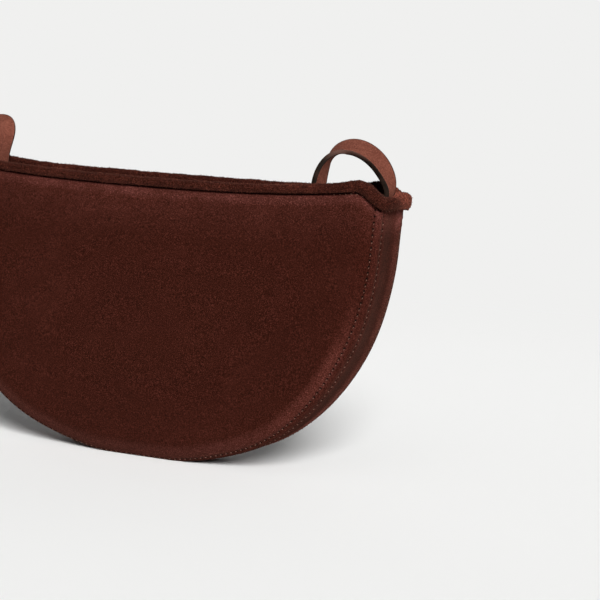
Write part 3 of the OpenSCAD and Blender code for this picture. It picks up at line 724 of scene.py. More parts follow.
def woven_cloth_group():
    """Plain weave on a flat map in metres: two crossing sets of threads, each a sine, the upper one chosen
    in a checker, with slubs. The gaps between the threads are painted darker, painted shade."""
    group, given, made = new_group(
        "Woven cloth",
        [("Vector", "Vector", None), ("Cloth", "Color", (0.16, 0.09, 0.055)),
         ("Shade", "Color", (0.08, 0.04, 0.025)), ("Thread Scale", "Float", 1400.0)],
        [("Colour", "Color", None), ("Height", "Float", None)])
    at = given.outputs
    split = group.nodes.new("ShaderNodeSeparateXYZ")
    group.links.new(at["Vector"], split.inputs[0])
    wave_u = mathed(group, "SINE", mathed(group, "MULTIPLY", split.outputs[0],
                                          mathed(group, "MULTIPLY", at["Thread Scale"], math.pi)))
    wave_v = mathed(group, "SINE", mathed(group, "MULTIPLY", split.outputs[1],
                                          mathed(group, "MULTIPLY", at["Thread Scale"], math.pi)))
    high = mathed(group, "MULTIPLY", wave_u, wave_v)
    height = ranged(group, mathed(group, "ABSOLUTE", high), 0.0, 1.0)
    slub = node_of(group, "ShaderNodeTexNoise", Detail=3.0, Roughness=0.6, Scale=220.0)
    group.links.new(at["Vector"], slub.inputs["Vector"])
    shade = ranged(group, slub.outputs["Fac"], 0.35, 0.7, 0.25, 0.6)
    # Lower places of the weave are mixed toward the Shade colour: painted shade between the threads.
    shade = mathed(group, "ADD", shade, mathed(group, "MULTIPLY", height, -0.25), clamp=True)
    group.links.new(mixed(group, shade, at["Cloth"], at["Shade"]), made.inputs["Colour"])
    group.links.new(height, made.inputs["Height"])
    return group


def worn_metal_group():
    """Brushed and slightly scratched metal: a stretched noise for the brushing, a fine one for wear."""
    group, given, made = new_group(
        "Worn metal",
        [("Vector", "Vector", None), ("Metal", "Color", (0.5, 0.4, 0.25)),
         ("Tarnish", "Color", (0.2, 0.14, 0.08))],
        [("Colour", "Color", None), ("Roughness", "Float", None), ("Height", "Float", None)])
    at = given.outputs
    stretch = node_of(group, "ShaderNodeMapping")
    stretch.inputs["Scale"].default_value = (120.0, 1800.0, 1800.0)
    group.links.new(at["Vector"], stretch.inputs["Vector"])
    brush = node_of(group, "ShaderNodeTexNoise", Scale=1.0, Detail=2.0)
    wear = node_of(group, "ShaderNodeTexNoise", Scale=260.0, Detail=4.0)
    group.links.new(stretch.outputs[0], brush.inputs["Vector"])
    group.links.new(at["Vector"], wear.inputs["Vector"])
    dull = ranged(group, wear.outputs["Fac"], 0.45, 0.75, 0.0, 0.5)
    group.links.new(mixed(group, dull, at["Metal"], at["Tarnish"]), made.inputs["Colour"])
    group.links.new(ranged(group, wear.outputs["Fac"], 0.3, 0.7, 0.26, 0.48), made.inputs["Roughness"])
    group.links.new(brush.outputs["Fac"], made.inputs["Height"])
    return group


def group_named(name):
    """The shared effect of that name, built once."""
    makers = {"Suede nap": suede_nap_group, "Needle holes": needle_holes_group,
              "Ridge of rub and painted light": ridge_rub_and_painted_light_group, "Woven cloth": woven_cloth_group,
              "Worn metal": worn_metal_group}
    return bpy.data.node_groups.get(name) or makers[name]()


def placed(tree, name, **values):
    """A shared effect placed in a material with its own values."""
    node = tree.nodes.new("ShaderNodeGroup")
    node.node_tree = group_named(name)
    for label, value in values.items():
        socket = node.inputs[label.replace("_", " ")]
        if hasattr(value, "is_linked"):
            tree.links.new(value, socket)
        elif isinstance(value, (int, float)):
            socket.default_value = value
        else:
            socket.default_value = (*value, 1.0)
    return node


def new_material(name, **plain):
    """A material with an empty tree: the tree, its Principled shader with some plain values, and its object
    coordinates."""
    material = bpy.data.materials.new(name)
    material.use_nodes = True
    tree = material.node_tree
    tree.nodes.clear()
    shader = tree.nodes.new("ShaderNodeBsdfPrincipled")
    output = tree.nodes.new("ShaderNodeOutputMaterial")
    tree.links.new(shader.outputs[0], output.inputs[0])
    for label, value in plain.items():
        shader.inputs[label.replace("_", " ")].default_value = value
    return material, tree, shader, tree.nodes.new("ShaderNodeTexCoord").outputs["Object"]


def bumped(tree, shader, height, distance, strength=1.0, before=None):
    """A Bump of a height in metres per unit, on top of an earlier one."""
    bump = node_of(tree, "ShaderNodeBump", Strength=strength, Distance=distance)
    tree.links.new(height, bump.inputs["Height"])
    if before is not None:
        tree.links.new(before, bump.inputs["Normal"])
    tree.links.new(bump.outputs[0], shader.inputs["Normal"])
    return bump.outputs[0]


def suede_material(name, rows=(), ridges=(), patch_scale=26.0, colours=None, patchiness=0.20):
    """Suede without gloss, with a soft sheen at the edges of its forms, rows of needle holes, each a
    distance on the stitch map, and ridges, each (map, start, full, hold, end, strength, noise scale) on the
    seam map or the rim map. A ridge of positive strength is painted lighter, as much as the raised nap is
    lighter than the plain one: rubbed nap together with painted light where the form faces the lamps or the
    floor. One of negative strength is painted shade, down to near black. Two more numbers are the distances
    below the rim between which the ridge comes in."""
    f = bag_finish()
    base, raised, laid = colours or (f.suede, f.suede_light, f.suede_dark)
    material, tree, shader, where = new_material(name, Specular_IOR_Level=0.0, Sheen_Weight=0.05,
                                                 Sheen_Roughness=0.55, Sheen_Tint=(0.80, 0.42, 0.32, 1.0))
    nap = placed(tree, "Suede nap", Vector=where, Suede=base, Raised=raised, Laid=laid,
                 Patch_Scale=patch_scale, Patchiness=patchiness, Grain=1.0)
    shade = nap.outputs["Colour"]
    maps = {}
    for label in ("seam", "rim", "stitch"):
        if any(r[0] == label for r in ridges) or (label == "stitch" and rows):
            uv = node_of(tree, "ShaderNodeUVMap", uv_map=label)
            split = tree.nodes.new("ShaderNodeSeparateXYZ")
            tree.links.new(uv.outputs[0], split.inputs[0])
            maps[label] = (uv.outputs[0], split.outputs[1])
    # rubbed: gain of the raised nap over the plain one, used both for rubbed nap and for painted light
    rubbed = [high / low for high, low in zip(raised, base)]
    for label, start, full, hold, end, strength, noise, *low in ridges:
        edge = placed(tree, "Ridge of rub and painted light", Vector=where, Distance=maps[label][1], Start=start, Full=full,
                      Hold=hold, End=end, Noise_Scale=noise)
        share = mathed(tree, "MULTIPLY", edge.outputs["Share"], abs(strength))
        if low:
            share = mathed(tree, "MULTIPLY", share, ranged(tree, maps["rim"][1], *low))
        # Positive ridges multiply the colour by that gain; negative ones multiply it toward a near black
        # colour, which is painted shade.
        shade = mixed(tree, share, shade, rubbed if strength > 0 else (0.12, 0.10, 0.10), "MULTIPLY")
    normal = bumped(tree, shader, nap.outputs["Height"], 0.00035, 0.55)
    for row in rows:
        holes = placed(tree, "Needle holes", Seam=maps["stitch"][0], Row=row, Stitch=bag_sizes().stitch,
                       Hole=0.00064)
        shade = mixed(tree, mathed(tree, "MULTIPLY", holes.outputs["Dent"], 0.25), shade, laid)
        # The holes are painted near black: painted shade inside the needle holes.
        shade = mixed(tree, holes.outputs["Hole"], shade, linear(12, 6, 4))
        depth = mathed(tree, "MULTIPLY", mathed(tree, "ADD", mathed(
            tree, "MULTIPLY", holes.outputs["Dent"], 0.4), holes.outputs["Hole"]), -1.0)
        normal = bumped(tree, shader, depth, 0.0005, 0.8, normal)
    tree.links.new(shade, shader.inputs["Base Color"])
    tree.links.new(nap.outputs["Roughness"], shader.inputs["Roughness"])
    return material


def strap_material():
    """Suede of the strap, a paler and finer nap."""
    f = bag_finish()
    edge = [("rim", 0.0058, 0.0067, 0.008, 0.009, 0.4, 90.0),
            ("rim", -0.009, -0.008, -0.0067, -0.0058, 0.4, 90.0)]
    return suede_material("Strap suede", patch_scale=60.0, patchiness=0.4, ridges=edge,
                          colours=(f.strap, f.strap_light, f.strap_dark))


def edge_paint_material():
    """Painted leather edge: a dull coat with faint ripples and scuffs, paler at the top of the arch."""
    material, tree, shader, where = new_material("Edge paint", Specular_IOR_Level=0.08)
    wear = node_of(tree, "ShaderNodeTexNoise", Scale=190.0, Detail=4.0)
    tree.links.new(where, wear.inputs["Vector"])
    split = tree.nodes.new("ShaderNodeSeparateXYZ")
    tree.links.new(where, split.inputs[0])
    share = mathed(tree, "ADD", ranged(tree, wear.outputs["Fac"], 0.42, 0.7, 0.0, 0.12),
                   ranged(tree, split.outputs[2], 0.199, 0.208, 0.0, 0.7), clamp=True)
    shade = mixed(tree, share, bag_finish().edge_paint, linear(95, 67, 58))
    tree.links.new(shade, shader.inputs["Base Color"])
    tree.links.new(ranged(tree, wear.outputs["Fac"], 0.3, 0.7, 0.66, 0.84), shader.inputs["Roughness"])
    bumped(tree, shader, wear.outputs["Fac"], 0.0002, 0.4)
    return material


def cloth_material(name, cloth, shade, scale=1400.0):
    """Woven cloth on the piece's flat map, with so many threads to a metre."""
    material, tree, shader, where = new_material(name, Roughness=0.88, Specular_IOR_Level=0.2,
                                                 Sheen_Weight=0.15)
    uv = node_of(tree, "ShaderNodeUVMap", uv_map="rim")
    weave = placed(tree, "Woven cloth", Vector=uv.outputs[0], Cloth=cloth, Shade=shade, Thread_Scale=scale)
    tree.links.new(weave.outputs["Colour"], shader.inputs["Base Color"])
    bumped(tree, shader, weave.outputs["Height"], 0.0002, 0.5)
    return material


def thread_material():
    """Twisted thread: dark and light plies in a fine noise."""
    material, tree, shader, where = new_material("Sewing thread", Roughness=0.75, Specular_IOR_Level=0.1)
    ply = node_of(tree, "ShaderNodeTexNoise", Scale=2600.0, Detail=1.0)
    tree.links.new(where, ply.inputs["Vector"])
    share = ranged(tree, ply.outputs["Fac"], 0.4, 0.65, 0.0, 0.8)
    tree.links.new(mixed(tree, share, bag_finish().thread, linear(68, 43, 35)), shader.inputs["Base Color"])
    bumped(tree, shader, ply.outputs["Fac"], 0.0001, 0.5)
    return material


def metal_material(name, metal, tarnish):
    """Metal of the zip or the snap, brushed and a little worn."""
    material, tree, shader, where = new_material(name, Metallic=1.0)
    worn = placed(tree, "Worn metal", Vector=where, Metal=metal, Tarnish=tarnish)
    tree.links.new(worn.outputs["Colour"], shader.inputs["Base Color"])
    tree.links.new(worn.outputs["Roughness"], shader.inputs["Roughness"])
    bumped(tree, shader, worn.outputs["Height"], 0.00004, 0.4)
    return material


def material_named(name):
    """A material by name, made the first time it is asked for. The ridges are distances in metres from the
    seam, on the gusset from the front one, or below the rim. On the binding they are distances from its
    back corners, whose round ends are painted lighter: rubbed nap with a painted highlight."""
    f, s = bag_finish(), bag_sizes()
    makers = {
        "Wall suede": lambda: suede_material(
            name, rows=[0.0],
            # Painted light and shade on the wall: the lower shoulder along the seam is lighter, rubbed nap
            # with painted light from the floor; the bottom of the seam is darker, painted shade where the
            # bag meets the floor; a thin lighter line runs on the seam; the wall just under the binding is
            # lighter, rubbed nap with painted light from above; the gap under the binding is painted near
            # black, painted shade.
            ridges=[("seam", 0.0012, 0.0030, 0.0060, 0.0120, 0.85, 60.0, 0.05, 0.12),
                    ("seam", 0.0012, 0.0030, 0.0065, 0.0125, -0.32, 60.0, 0.125, 0.165),
                    ("seam", -0.001, 0.0, 0.0022, 0.003, 0.20, 60.0),
                    ("rim", 0.0006, 0.0018, 0.0042, 0.0090, 0.40, 60.0),
                    ("rim", 0.0, 0.002, 0.006, 0.036, 0.34, 60.0),
                    ("rim", -0.004, -0.003, 0.0008, 0.0018, -1.0, 500.0)]),
        "Gusset suede": lambda: suede_material(
            name, rows=[0.0, s.seam_depth - 2 * s.gusset_row], patch_scale=75.0, patchiness=0.45,
            # Painted light and shade on the gusset: lighter bands along the front seam and between its
            # rows; the valley in the middle is darker, painted shade, coming in below the top; the far band
            # is lighter, a painted sheen, and more so low down, painted light; the top under the binding is
            # lighter, painted light against the binding's shadow; a thin dark line on the far seam and the
            # gap under the binding are painted shade.
            ridges=[("seam", -0.001, 0.0, 0.0026, 0.0050, 0.20, 60.0),
                    ("seam", 0.0036, 0.0046, 0.0060, 0.0095, 0.15, 60.0),
                    ("seam", 0.005, 0.009, 0.017, 0.022, -0.30, 60.0, 0.003, 0.025),
                    ("seam", 0.019, 0.024, 0.0300, 0.0312, 0.60, 60.0),
                    ("seam", 0.016, 0.022, 0.0300, 0.0312, 0.60, 60.0, 0.09, 0.14),
                    ("rim", 0.0, 0.001, 0.006, 0.020, 0.75, 60.0),
                    ("seam", 0.0311, 0.0316, 0.034, 0.035, -0.3, 260.0),
                    ("rim", -0.004, -0.003, 0.0012, 0.0022, -1.0, 500.0)]),
        "Binding suede": lambda: suede_material(
            name, patch_scale=60.0, patchiness=0.55,
            # The binding's round ends at the back corners are painted lighter: rubbed nap with a painted
            # highlight.
            ridges=[("seam", -0.001, 0.0, 0.009, 0.018, 1.0, 60.0)],
            colours=(f.binding, f.binding_light, f.binding_dark)),
        "Facing suede": lambda: suede_material(
            name, colours=(f.facing, f.facing_light, f.facing_dark)),
        "Strap suede": strap_material,
        "Edge paint": edge_paint_material,
        "Lining cloth": lambda: cloth_material(name, f.lining, linear(84, 60, 46)),
        "Pocket cloth": lambda: cloth_material(name, linear(104, 77, 60), linear(76, 54, 41)),
        "Zip tape cloth": lambda: cloth_material(name, linear(62, 36, 28), linear(38, 20, 15), 2200.0),
        "Board": lambda: cloth_material(name, linear(160, 150, 132), linear(130, 120, 104), 700.0),
        "Cotton cord": lambda: cloth_material(name, linear(200, 192, 176), linear(160, 150, 132), 900.0),
        "Sewing thread": thread_material,
        "Zip brass": lambda: metal_material(name, f.brass, linear(110, 84, 48)),
        "Snap nickel": lambda: metal_material(name, f.nickel, linear(120, 116, 108)),
    }
    return bpy.data.materials.get(name) or makers[name]()


# ---------------------------------------------------------------- soft pieces

def wall_piece(name, node, side, near, far, inset, down, material, cols, rows, end_share):
    """One closed layer of a wall, between two distances inward from its outer face."""
    s = bag_sizes()
    moon = half_moon(s)
    x, z = wall_grid(s, moon, cols, rows, inset, down, side, end_share)
    points, faces, maps = wall_sheet(s, moon, x, z, side, near, far)
    return new_piece(name, points, faces, material_named(material), maps=maps, replaces=[node])


def gusset_piece(name, node, near, far, half_y, top, material, count, across, outer=False):
    """One closed layer of the gusset: a grid of lengths along the outline by places across, crowded
    toward the seams, between two distances inward from the outer face. Its seam map holds the length and
    the distance from the front seam. The outer layer has finer columns by its crease, and its rim map holds
    the distance below its top, where the others' holds the place across."""
    s = bag_sizes()
    moon = half_moon(s)
    end = length_at_height(moon, top)
    close = length_at_height(moon, 0.162) + np.linspace(-0.006, 0.006, 30 if outer else 2)
    places = np.unique(np.round(np.concatenate([np.linspace(-end, end, count), close, -close]), 6))
    along, t = np.meshgrid(places, np.linspace(-1, 1, across))
    y = half_y * np.sin(t * math.pi / 2)
    skins = [on_gusset(s, moon, along.ravel(), y.ravel(), d) for d in (near, far)]
    seam = s.seam_depth / 2 + y
    below = top - on_outline(moon, along)[1]
    return new_piece(name, np.concatenate(skins), shell_quads(*along.shape), material_named(material),
                     maps={"seam": flat_map(along, seam, 2),
                           "rim": flat_map(along, below if outer else y, 2),
                           "stitch": flat_map(along, seam - s.gusset_row, 2)},
                     replaces=[node])


def binding_sections(s, path, along):
    """Sections of the binding along the rim: an arch of leather with its feet drawn in, and the same arch
    inside it. With t from -50 to 230 degrees, x = half width * cos(t)^p and z = middle + (height -
    middle) * sin(t), below the middle down to the feet at 0. The binding grows from its middle to the
    corners and once more at the ends, where p = 1 makes its outer side round, most of all at the back
    corners, where it also hangs 1.1 mm lower. Small lumps run along it, and its outer arch is uneven by a
    few hundredths of its size."""
    t = np.radians(np.linspace(-50, 230, 19))
    reach = np.abs(path[:, :1])
    corner, end = smooth_step((reach - 0.105) / 0.03), smooth_step((reach - 0.142) / 0.015)
    bulb = smooth_step((reach - 0.161) / 0.006) * smooth_step((path[:, 1:2] - 0.001) / 0.010)
    turns = 2 * np.pi * along[:, None] / (along[-1] + along[1])
    lumps = (1 + 0.022 * np.sin(17 * turns + 1.5 * np.sin(5 * turns)) + 0.014 * np.sin(43 * turns)
             + 0.010 * np.sin(101 * turns + 2 * np.sin(7 * turns)))
    height = s.binding_height * (1 + 0.15 * corner + 0.27 * end + 0.42 * bulb) * lumps
    width = s.binding_width * (1 + 0.10 * corner + 0.20 * smooth_step((reach - 0.158) / 0.010)
                               + 0.10 * bulb) * lumps
    power = np.where(np.cos(t) > 0, 0.6 + 0.4 * end, 0.35)
    middle = (0.45 + 0.10 * end) * height
    sides = np.sign(np.cos(t)) * np.abs(np.cos(t)) ** power

    def arch(w, h):
        """The section's outline for a width and a height."""
        low = middle * (1 + np.sin(t) / math.sin(math.radians(50))) - 0.0011 * bulb
        high = middle + (h - middle) * np.sin(t)
        return np.stack([w / 2 * sides, np.where(np.sin(t) > 0, high, low)], -1)

    rough = np.random.default_rng(11).normal(0, 1, (len(path), len(t)))
    rough = (rough + np.roll(rough, 1, 0) + np.roll(rough, 1, 1)) / 3
    outer = arch(width, height) * (1 + 0.045 * rough * (np.sin(t) > -0.6))[..., None]
    inner = arch(width - 2 * s.binding_leather, height - s.binding_leather)
    return np.concatenate([outer, inner[:, ::-1]], 1)


def strap_route(s, samples=60):
    """Middle line of the strap from the right sewn end to the left one: up inside the gusset, a lean
    outward, two quarters of a superellipse over the arch, down, and a superellipse loop in the bag.
    Returns x, y, z, the tilt of the strap's width and its twist about the vertical."""
    top = gusset_top(s)
    low, high = top - s.strap_tail - PATCH_MARGIN, top - TOUCH
    sag = side_x(s, (low + high) / 2) - (side_x(s, low) + side_x(s, high)) / 2
    half = s.strap_layer + s.layer_room / 4
    strap_in = gusset_stack(s) + s.layer_room + PATCH_THICK + sag + TOUCH + half
    foot_z = top + s.arch_foot
    mouth_x = float(side_x(s, top)) - strap_in
    foot_x = mouth_x + s.arch_lean
    top_x = foot_x - s.arch_out
    limb_x = top_x - s.arch_in
    loop_low = gusset_stack(s) + half + TOUCH
    lean_z = top + s.binding_height / 2

    def part(t, x, y, z, tilt, twist):
        """One stretch of the route, a row for each t."""
        return np.stack([v + 0 * t for v in (x, y, z, tilt, twist)], -1)

    t = np.linspace(0, 1, samples)
    tail_z = top - s.strap_tail + (lean_z - top + s.strap_tail) * t
    tail = part(t, side_x(s, np.minimum(tail_z, top)) - strap_in, 0, tail_z, 0,
                -s.foot_turn * smooth_step((tail_z - top) / s.binding_height))
    lean = part(t, mouth_x + s.arch_lean * smooth_step(t), 0, lean_z + (foot_z - lean_z) * t, 0,
                -s.foot_turn * (0.5 + 0.5 * smooth_step(t)))
    p = 2 / s.arch_power
    up, flat = np.sin(t * math.pi / 2), np.cos(t * math.pi / 2)
    rise = s.arch_rise * up ** p
    out = part(t, top_x + s.arch_out * flat ** p, s.arch_back * smooth_step(t), foot_z + rise,
               s.arch_turn * up ** 0.83, -s.foot_turn * (1 - smooth_step(rise / 0.012)))
    p = 2 / s.arch_in_power
    fall = s.arch_rise * flat ** p
    over = part(t, top_x - s.arch_in * up ** p, s.arch_back - (s.arch_back + s.limb_front) * smooth_step(t),
                foot_z + fall, s.arch_turn * flat ** 0.5, -s.limb_turn * (1 - smooth_step(fall / 0.02)))
    tuck = smooth_step((t - 0.25) / 0.75)
    limb = part(t, limb_x + (s.loop_half - limb_x) * tuck, s.limb_front * (tuck - 1),
                foot_z + (loop_low + s.loop_height - foot_z) * t, 0, -s.limb_turn * (1 - tuck))
    b = math.pi / 2 * (1 - t) ** 1.3
    loop_x = s.loop_half * np.sin(b) ** (2 / s.fullness)
    loop_z = loop_low + s.loop_height * (1 - np.cos(b)) + s.bilge * hump(loop_x, *BILGE_AT)
    loop = part(t, loop_x, 0, loop_z, 0, 0)
    right = np.concatenate([tail, lean[1:], out[1:], over[1:], limb[1:], loop[1:]])
    return np.concatenate([right, right[-2::-1] * [-1, 1, 1, 1, -1]])


def strap_frames(s, step=0.0016):
    """The strap's route at even steps, softened: points, outward normals, width directions and lengths."""
    route = strap_route(s)
    along = np.append(0, np.cumsum(np.linalg.norm(np.diff(route[:, :3], axis=0), axis=1)))
    kernel = np.hanning(13)
    even = np.linspace(0, along[-1], int(along[-1] / step) + 1)
    line = np.stack([np.interp(even, along, route[:, k]) for k in range(5)], -1)
    soft = np.stack([np.convolve(np.pad(line[:, k], 6, mode="edge"), kernel / kernel.sum(), "valid")
                     for k in range(5)], -1)
    soft[0], soft[-1] = line[0], line[-1]
    way = unit(np.gradient(soft[:, :3], axis=0))
    tilt, twist = soft[:, 3], soft[:, 4]
    across = np.stack([np.sin(twist), np.cos(tilt) * np.cos(twist), np.sin(tilt)], -1)
    across = unit(across - way * np.sum(across * way, 1, keepdims=True))
    return soft[:, :3], np.cross(across, way), across, even


def stitch_rows(name, places, normals, node=(), span=(0.09, 0.91)):
    """Stitches from hole to hole along lists of places on a surface, (n, 3) each with its normals. Each
    stitch is a small tube of 5 rings of 5 sides over the part of its length that isn't sunk in the nap,
    and its ends dip: height = lift + thread * (sin(pi t) - 0.55)."""
    s = bag_sizes()
    t = np.linspace(0, 1, 5)
    parts, faces, offset = [], [], 0
    quads = grid_quads(5, 5, ring_cols=True)
    ends = np.array([[4, 3, 2, 1, 0], [20, 21, 22, 23, 24]])
    for row, out in zip(places, normals):
        a, b = row[:-1], row[1:]
        n = unit(out[:-1] + out[1:])
        side = unit(np.cross(b - a, n))
        share = span[0] + (span[1] - span[0]) * t
        middle = a[:, None] + (b - a)[:, None] * share[:, None]
        height = THREAD_LIFT + s.thread * (np.sin(np.pi * t) - 0.55)
        slant = (t - 0.5) * 0.0003
        middle = middle + n[:, None] * height[:, None] + side[:, None] * slant[:, None]
        angle = np.arange(5) * 2 * np.pi / 5
        r = s.thread / 2 * (0.75 + 0.25 * np.sin(np.pi * t))
        ring = (side[:, None, None] * np.cos(angle)[:, None] + n[:, None, None] * np.sin(angle)[:, None])
        tube = middle[:, :, None] + ring * r[:, None, None]
        parts.append(tube.reshape(-1, 3))
        start = offset + np.arange(len(a)) * 25
        faces.append((start[:, None, None] + quads).reshape(-1, 4))
        faces.append((start[:, None, None] + ends).reshape(-1, 5))
        offset += len(a) * 25
    return new_piece(name, np.concatenate(parts), faces, material_named("Sewing thread"),
                     replaces=node)


def surface_normals(surface, u, v):
    """Normals of a surface given as a function of two arrays, by central differences."""
    h = 0.0004
    du = surface(u + h, v) - surface(u - h, v)
    dv = surface(u, v + h) - surface(u, v - h)
    return unit(np.cross(du, dv))


def read_vertices(mesh, field):
    """A field of a mesh's vertices, such as its places or normals, as an array (n, 3)."""
    values = np.empty(len(mesh.vertices) * 3)
    mesh.vertices.foreach_get(field, values)
    return values.reshape(-1, 3)


def coat(material, *nodes):
    """Gives CAD nodes a material in place of their own."""
    for node in nodes:
        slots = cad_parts[node].data.materials
        slots.clear()
        slots.append(material_named(material))


# ---------------------------------------------------------------- operators

class BAG_OT_camera(bpy.types.Operator):
    """Set the camera on the bag from the photograph's side"""
    bl_idname = "half_moon_bag.camera"
    bl_label = "Camera"

    def execute(self, context):
        c = context.scene.bag_studio
        back = np.array([math.sin(c.camera_turn) * math.cos(c.camera_down),
                         -math.cos(c.camera_turn) * math.cos(c.camera_down), math.sin(c.camera_down)])
        level = np.array([math.cos(c.camera_turn), math.sin(c.camera_turn), 0])
        upright = np.cross(back, level)
        right = level * math.cos(c.camera_roll) + upright * math.sin(c.camera_roll)
        up = upright * math.cos(c.camera_roll) - level * math.sin(c.camera_roll)
        place = np.array([c.look_x, c.look_y, c.look_z]) + back * c.camera_far
        data = bpy.data.cameras.new("Camera")
        data.lens = c.lens
        data.sensor_width = 36
        data.clip_end = 100
        camera = bpy.data.objects.new("Camera", data)
        camera.matrix_world = Matrix(np.vstack([np.stack([right, up, back, place], 1), [0, 0, 0, 1]]))
        context.scene.collection.objects.link(camera)
        context.scene.camera = camera
        return {"FINISHED"}


class BAG_OT_walls(bpy.types.Operator):
    """Make the two dished suede walls and the boards behind them"""
    bl_idname = "half_moon_bag.walls"
    bl_label = "Walls"

    def execute(self, context):
        s = bag_sizes()
        edge = gusset_stack(s) + s.layer_room
        near = s.leather + s.layer_room
        for label, side in (("front", -1), ("back", 1)):
            wall_piece(label + "_wall", label + "_panel", side, 0, s.leather, 0, 0, "Wall suede", 250, 150,
                       0.85)
            wall_piece(label + "_wall_board", label + "_board", side, near, near + s.board, edge,
                       s.facing_height, "Board", 90, 50, 0.72)
        return {"FINISHED"}


class BAG_OT_gusset(bpy.types.Operator):
    """Make the gusset that runs round the half moon, and its board"""
    bl_idname = "half_moon_bag.gusset"
    bl_label = "Gusset"

    def execute(self, context):
        s = bag_sizes()
        top = gusset_top(s) + 0.0008
        gusset_piece("gusset_strip", "gusset", 0, s.gusset_leather, s.seam_depth / 2 - 0.0001, top,
                     "Gusset suede", 600, 46, outer=True)
        near = s.gusset_leather + s.layer_room
        gusset_piece("gusset_strip_board", "gusset_board", near, near + s.board,
                     s.seam_depth / 2 - s.leather, top - 0.002, "Board", 240, 12)
        return {"FINISHED"}


class BAG_OT_binding(bpy.types.Operator):
    """Make the padded binding round the rim, its filler cord and its loose nap"""
    bl_idname = "half_moon_bag.binding"
    bl_label = "Rim binding"

    def execute(self, context):
        s = bag_sizes()
        path, side, up, along = ring_path(s, 1000)
        sections = binding_sections(s, path, along)
        points, faces = ring_tube(path, side, up, sections, True)
        m = sections.shape[1]
        flat = flat_map(along[:, None], np.arange(m) * s.binding_leather)
        # Distance from the back corners, where the binding's material paints the round ends lighter: rubbed
        # nap with a painted highlight.
        from_corner = np.hypot(np.abs(points[:, 0]) - 0.166, points[:, 1] - 0.008)
        binding = new_piece("padded_rim_binding", points, faces, material_named("Binding suede"),
                            maps={"rim": flat, "seam": np.stack([flat[:, 0], from_corner], -1)},
                            replaces=["rim_binding"])
        angle = np.arange(10) * 2 * np.pi / 10
        cord = np.stack([CORD_RADIUS * np.cos(angle), CORD_HEIGHT + CORD_RADIUS * np.sin(angle)], -1)
        points, faces = ring_tube(path[::4], side[::4], up[::4], cord, True)
        new_piece("rim_cord", points, faces, material_named("Cotton cord"),
                  maps={"rim": flat_map(along[::4, None], np.arange(10) * 0.001)},
                  replaces=["rim_filler_cord"])
        outside = np.tile(np.arange(m) < m // 2, len(path))
        self.loose_nap(*(read_vertices(binding.data, field)[outside] for field in ("co", "normal")))
        return {"FINISHED"}

    def loose_nap(self, points, normals):
        """Loose fibres on the binding: three-sided spikes of 4 faces at random places of a cloud of surface
        points, each leaning from the surface's normal by a random amount."""
        rng = np.random.default_rng(7)
        pick = rng.integers(0, len(points), FIBRES)
        n = normals[pick]
        way = unit(n + rng.normal(0, 0.45, (FIBRES, 3)))
        a = unit(np.cross(way, rng.normal(0, 1, (FIBRES, 3))))
        b = np.cross(way, a)
        size = FIBRE_LONG * rng.uniform(0.5, 1.3, (FIBRES, 1))
        thick = FIBRE_THICK * rng.uniform(0.7, 1.3, (FIBRES, 1))
        root = points[pick] - n * 0.0001
        third = 2 * np.pi / 3
        ring = [root + thick * (a * math.cos(k * third) + b * math.sin(k * third)) for k in range(3)]
        spikes = np.stack(ring + [root + way * size], 1)
        faces = np.array([[0, 1, 3], [1, 2, 3], [2, 0, 3], [0, 2, 1]])
        tris = (np.arange(FIBRES)[:, None, None] * 4 + faces).reshape(-1, 3)
        new_piece("binding_loose_nap", spikes.reshape(-1, 3), tris, material_named("Binding suede"))


class BAG_OT_stitches(bpy.types.Operator):
    """Sew both seams: a row of stitches on each wall and one on the gusset beside it"""
    bl_idname = "half_moon_bag.stitches"
    bl_label = "Seam stitches"

    def execute(self, context):
        s = bag_sizes()
        moon = half_moon(s)
        end = length_at_height(moon, 0.1685)
        steps = np.floor(end / s.stitch)
        along = (np.arange(-steps, steps + 1) - 0.5) * s.stitch
        for label, side in (("front", -1), ("back", 1)):
            def wall(u, v):
                """This side's wall by length along the outline and distance inside it."""
                return on_wall(s, moon, u, v, side)

            rows, outs = [], []
            for half in (1, -1):
                up = half * along[along > -s.stitch]
                inset = row_place(s, up)
                rows.append(wall(up, inset))
                out = surface_normals(wall, up, inset)
                outs.append(out * np.sign(np.median(out[:, 1] * side)))
                up = up[np.abs(up) > 0.062]
                across = np.full(up.shape, side * (s.seam_depth / 2 - s.gusset_row))
                rows.append(on_gusset(s, moon, up, across))
                nx, nz = on_outline(moon, up)[2:]
                outs.append(np.stack([nx, 0 * nx, nz], -1))
            stitch_rows(label + "_seam_stitches", rows, outs, [label + "_seam_thread"], span=(0.60, 0.90))
        self.rim_rows(s, moon)
        return {"FINISHED"}

    def rim_rows(self, s, moon):
        """Thread that sews the binding on, where it shows below its edge: at the corners of both walls and
        across both ends."""
        rows, outs = [], []
        for side, first in ((-1, -41), (-1, 35), (1, -41), (1, 35)):
            x = np.arange(first, first + 7) * s.stitch
            z = wall_rim(s, x, side) - 0.0012
            rows.append(np.stack([x, side * (wall_out(s, moon, x, z, side)[0] + 0.0001), z], -1))
            outs.append(np.tile([0.0, side, 0.3], (len(x), 1)))
        y = np.arange(-3, 4) * s.stitch
        for half in (-1, 1):
            end = length_at_height(moon, gusset_top(s) - 0.0010)
            rows.append(on_gusset(s, moon, np.full(y.shape, half * end), y))
            outs.append(np.tile([half, 0.0, 0.3], (len(y), 1)))
        stitch_rows("binding_stitches", rows, outs, span=(0.25, 0.55))


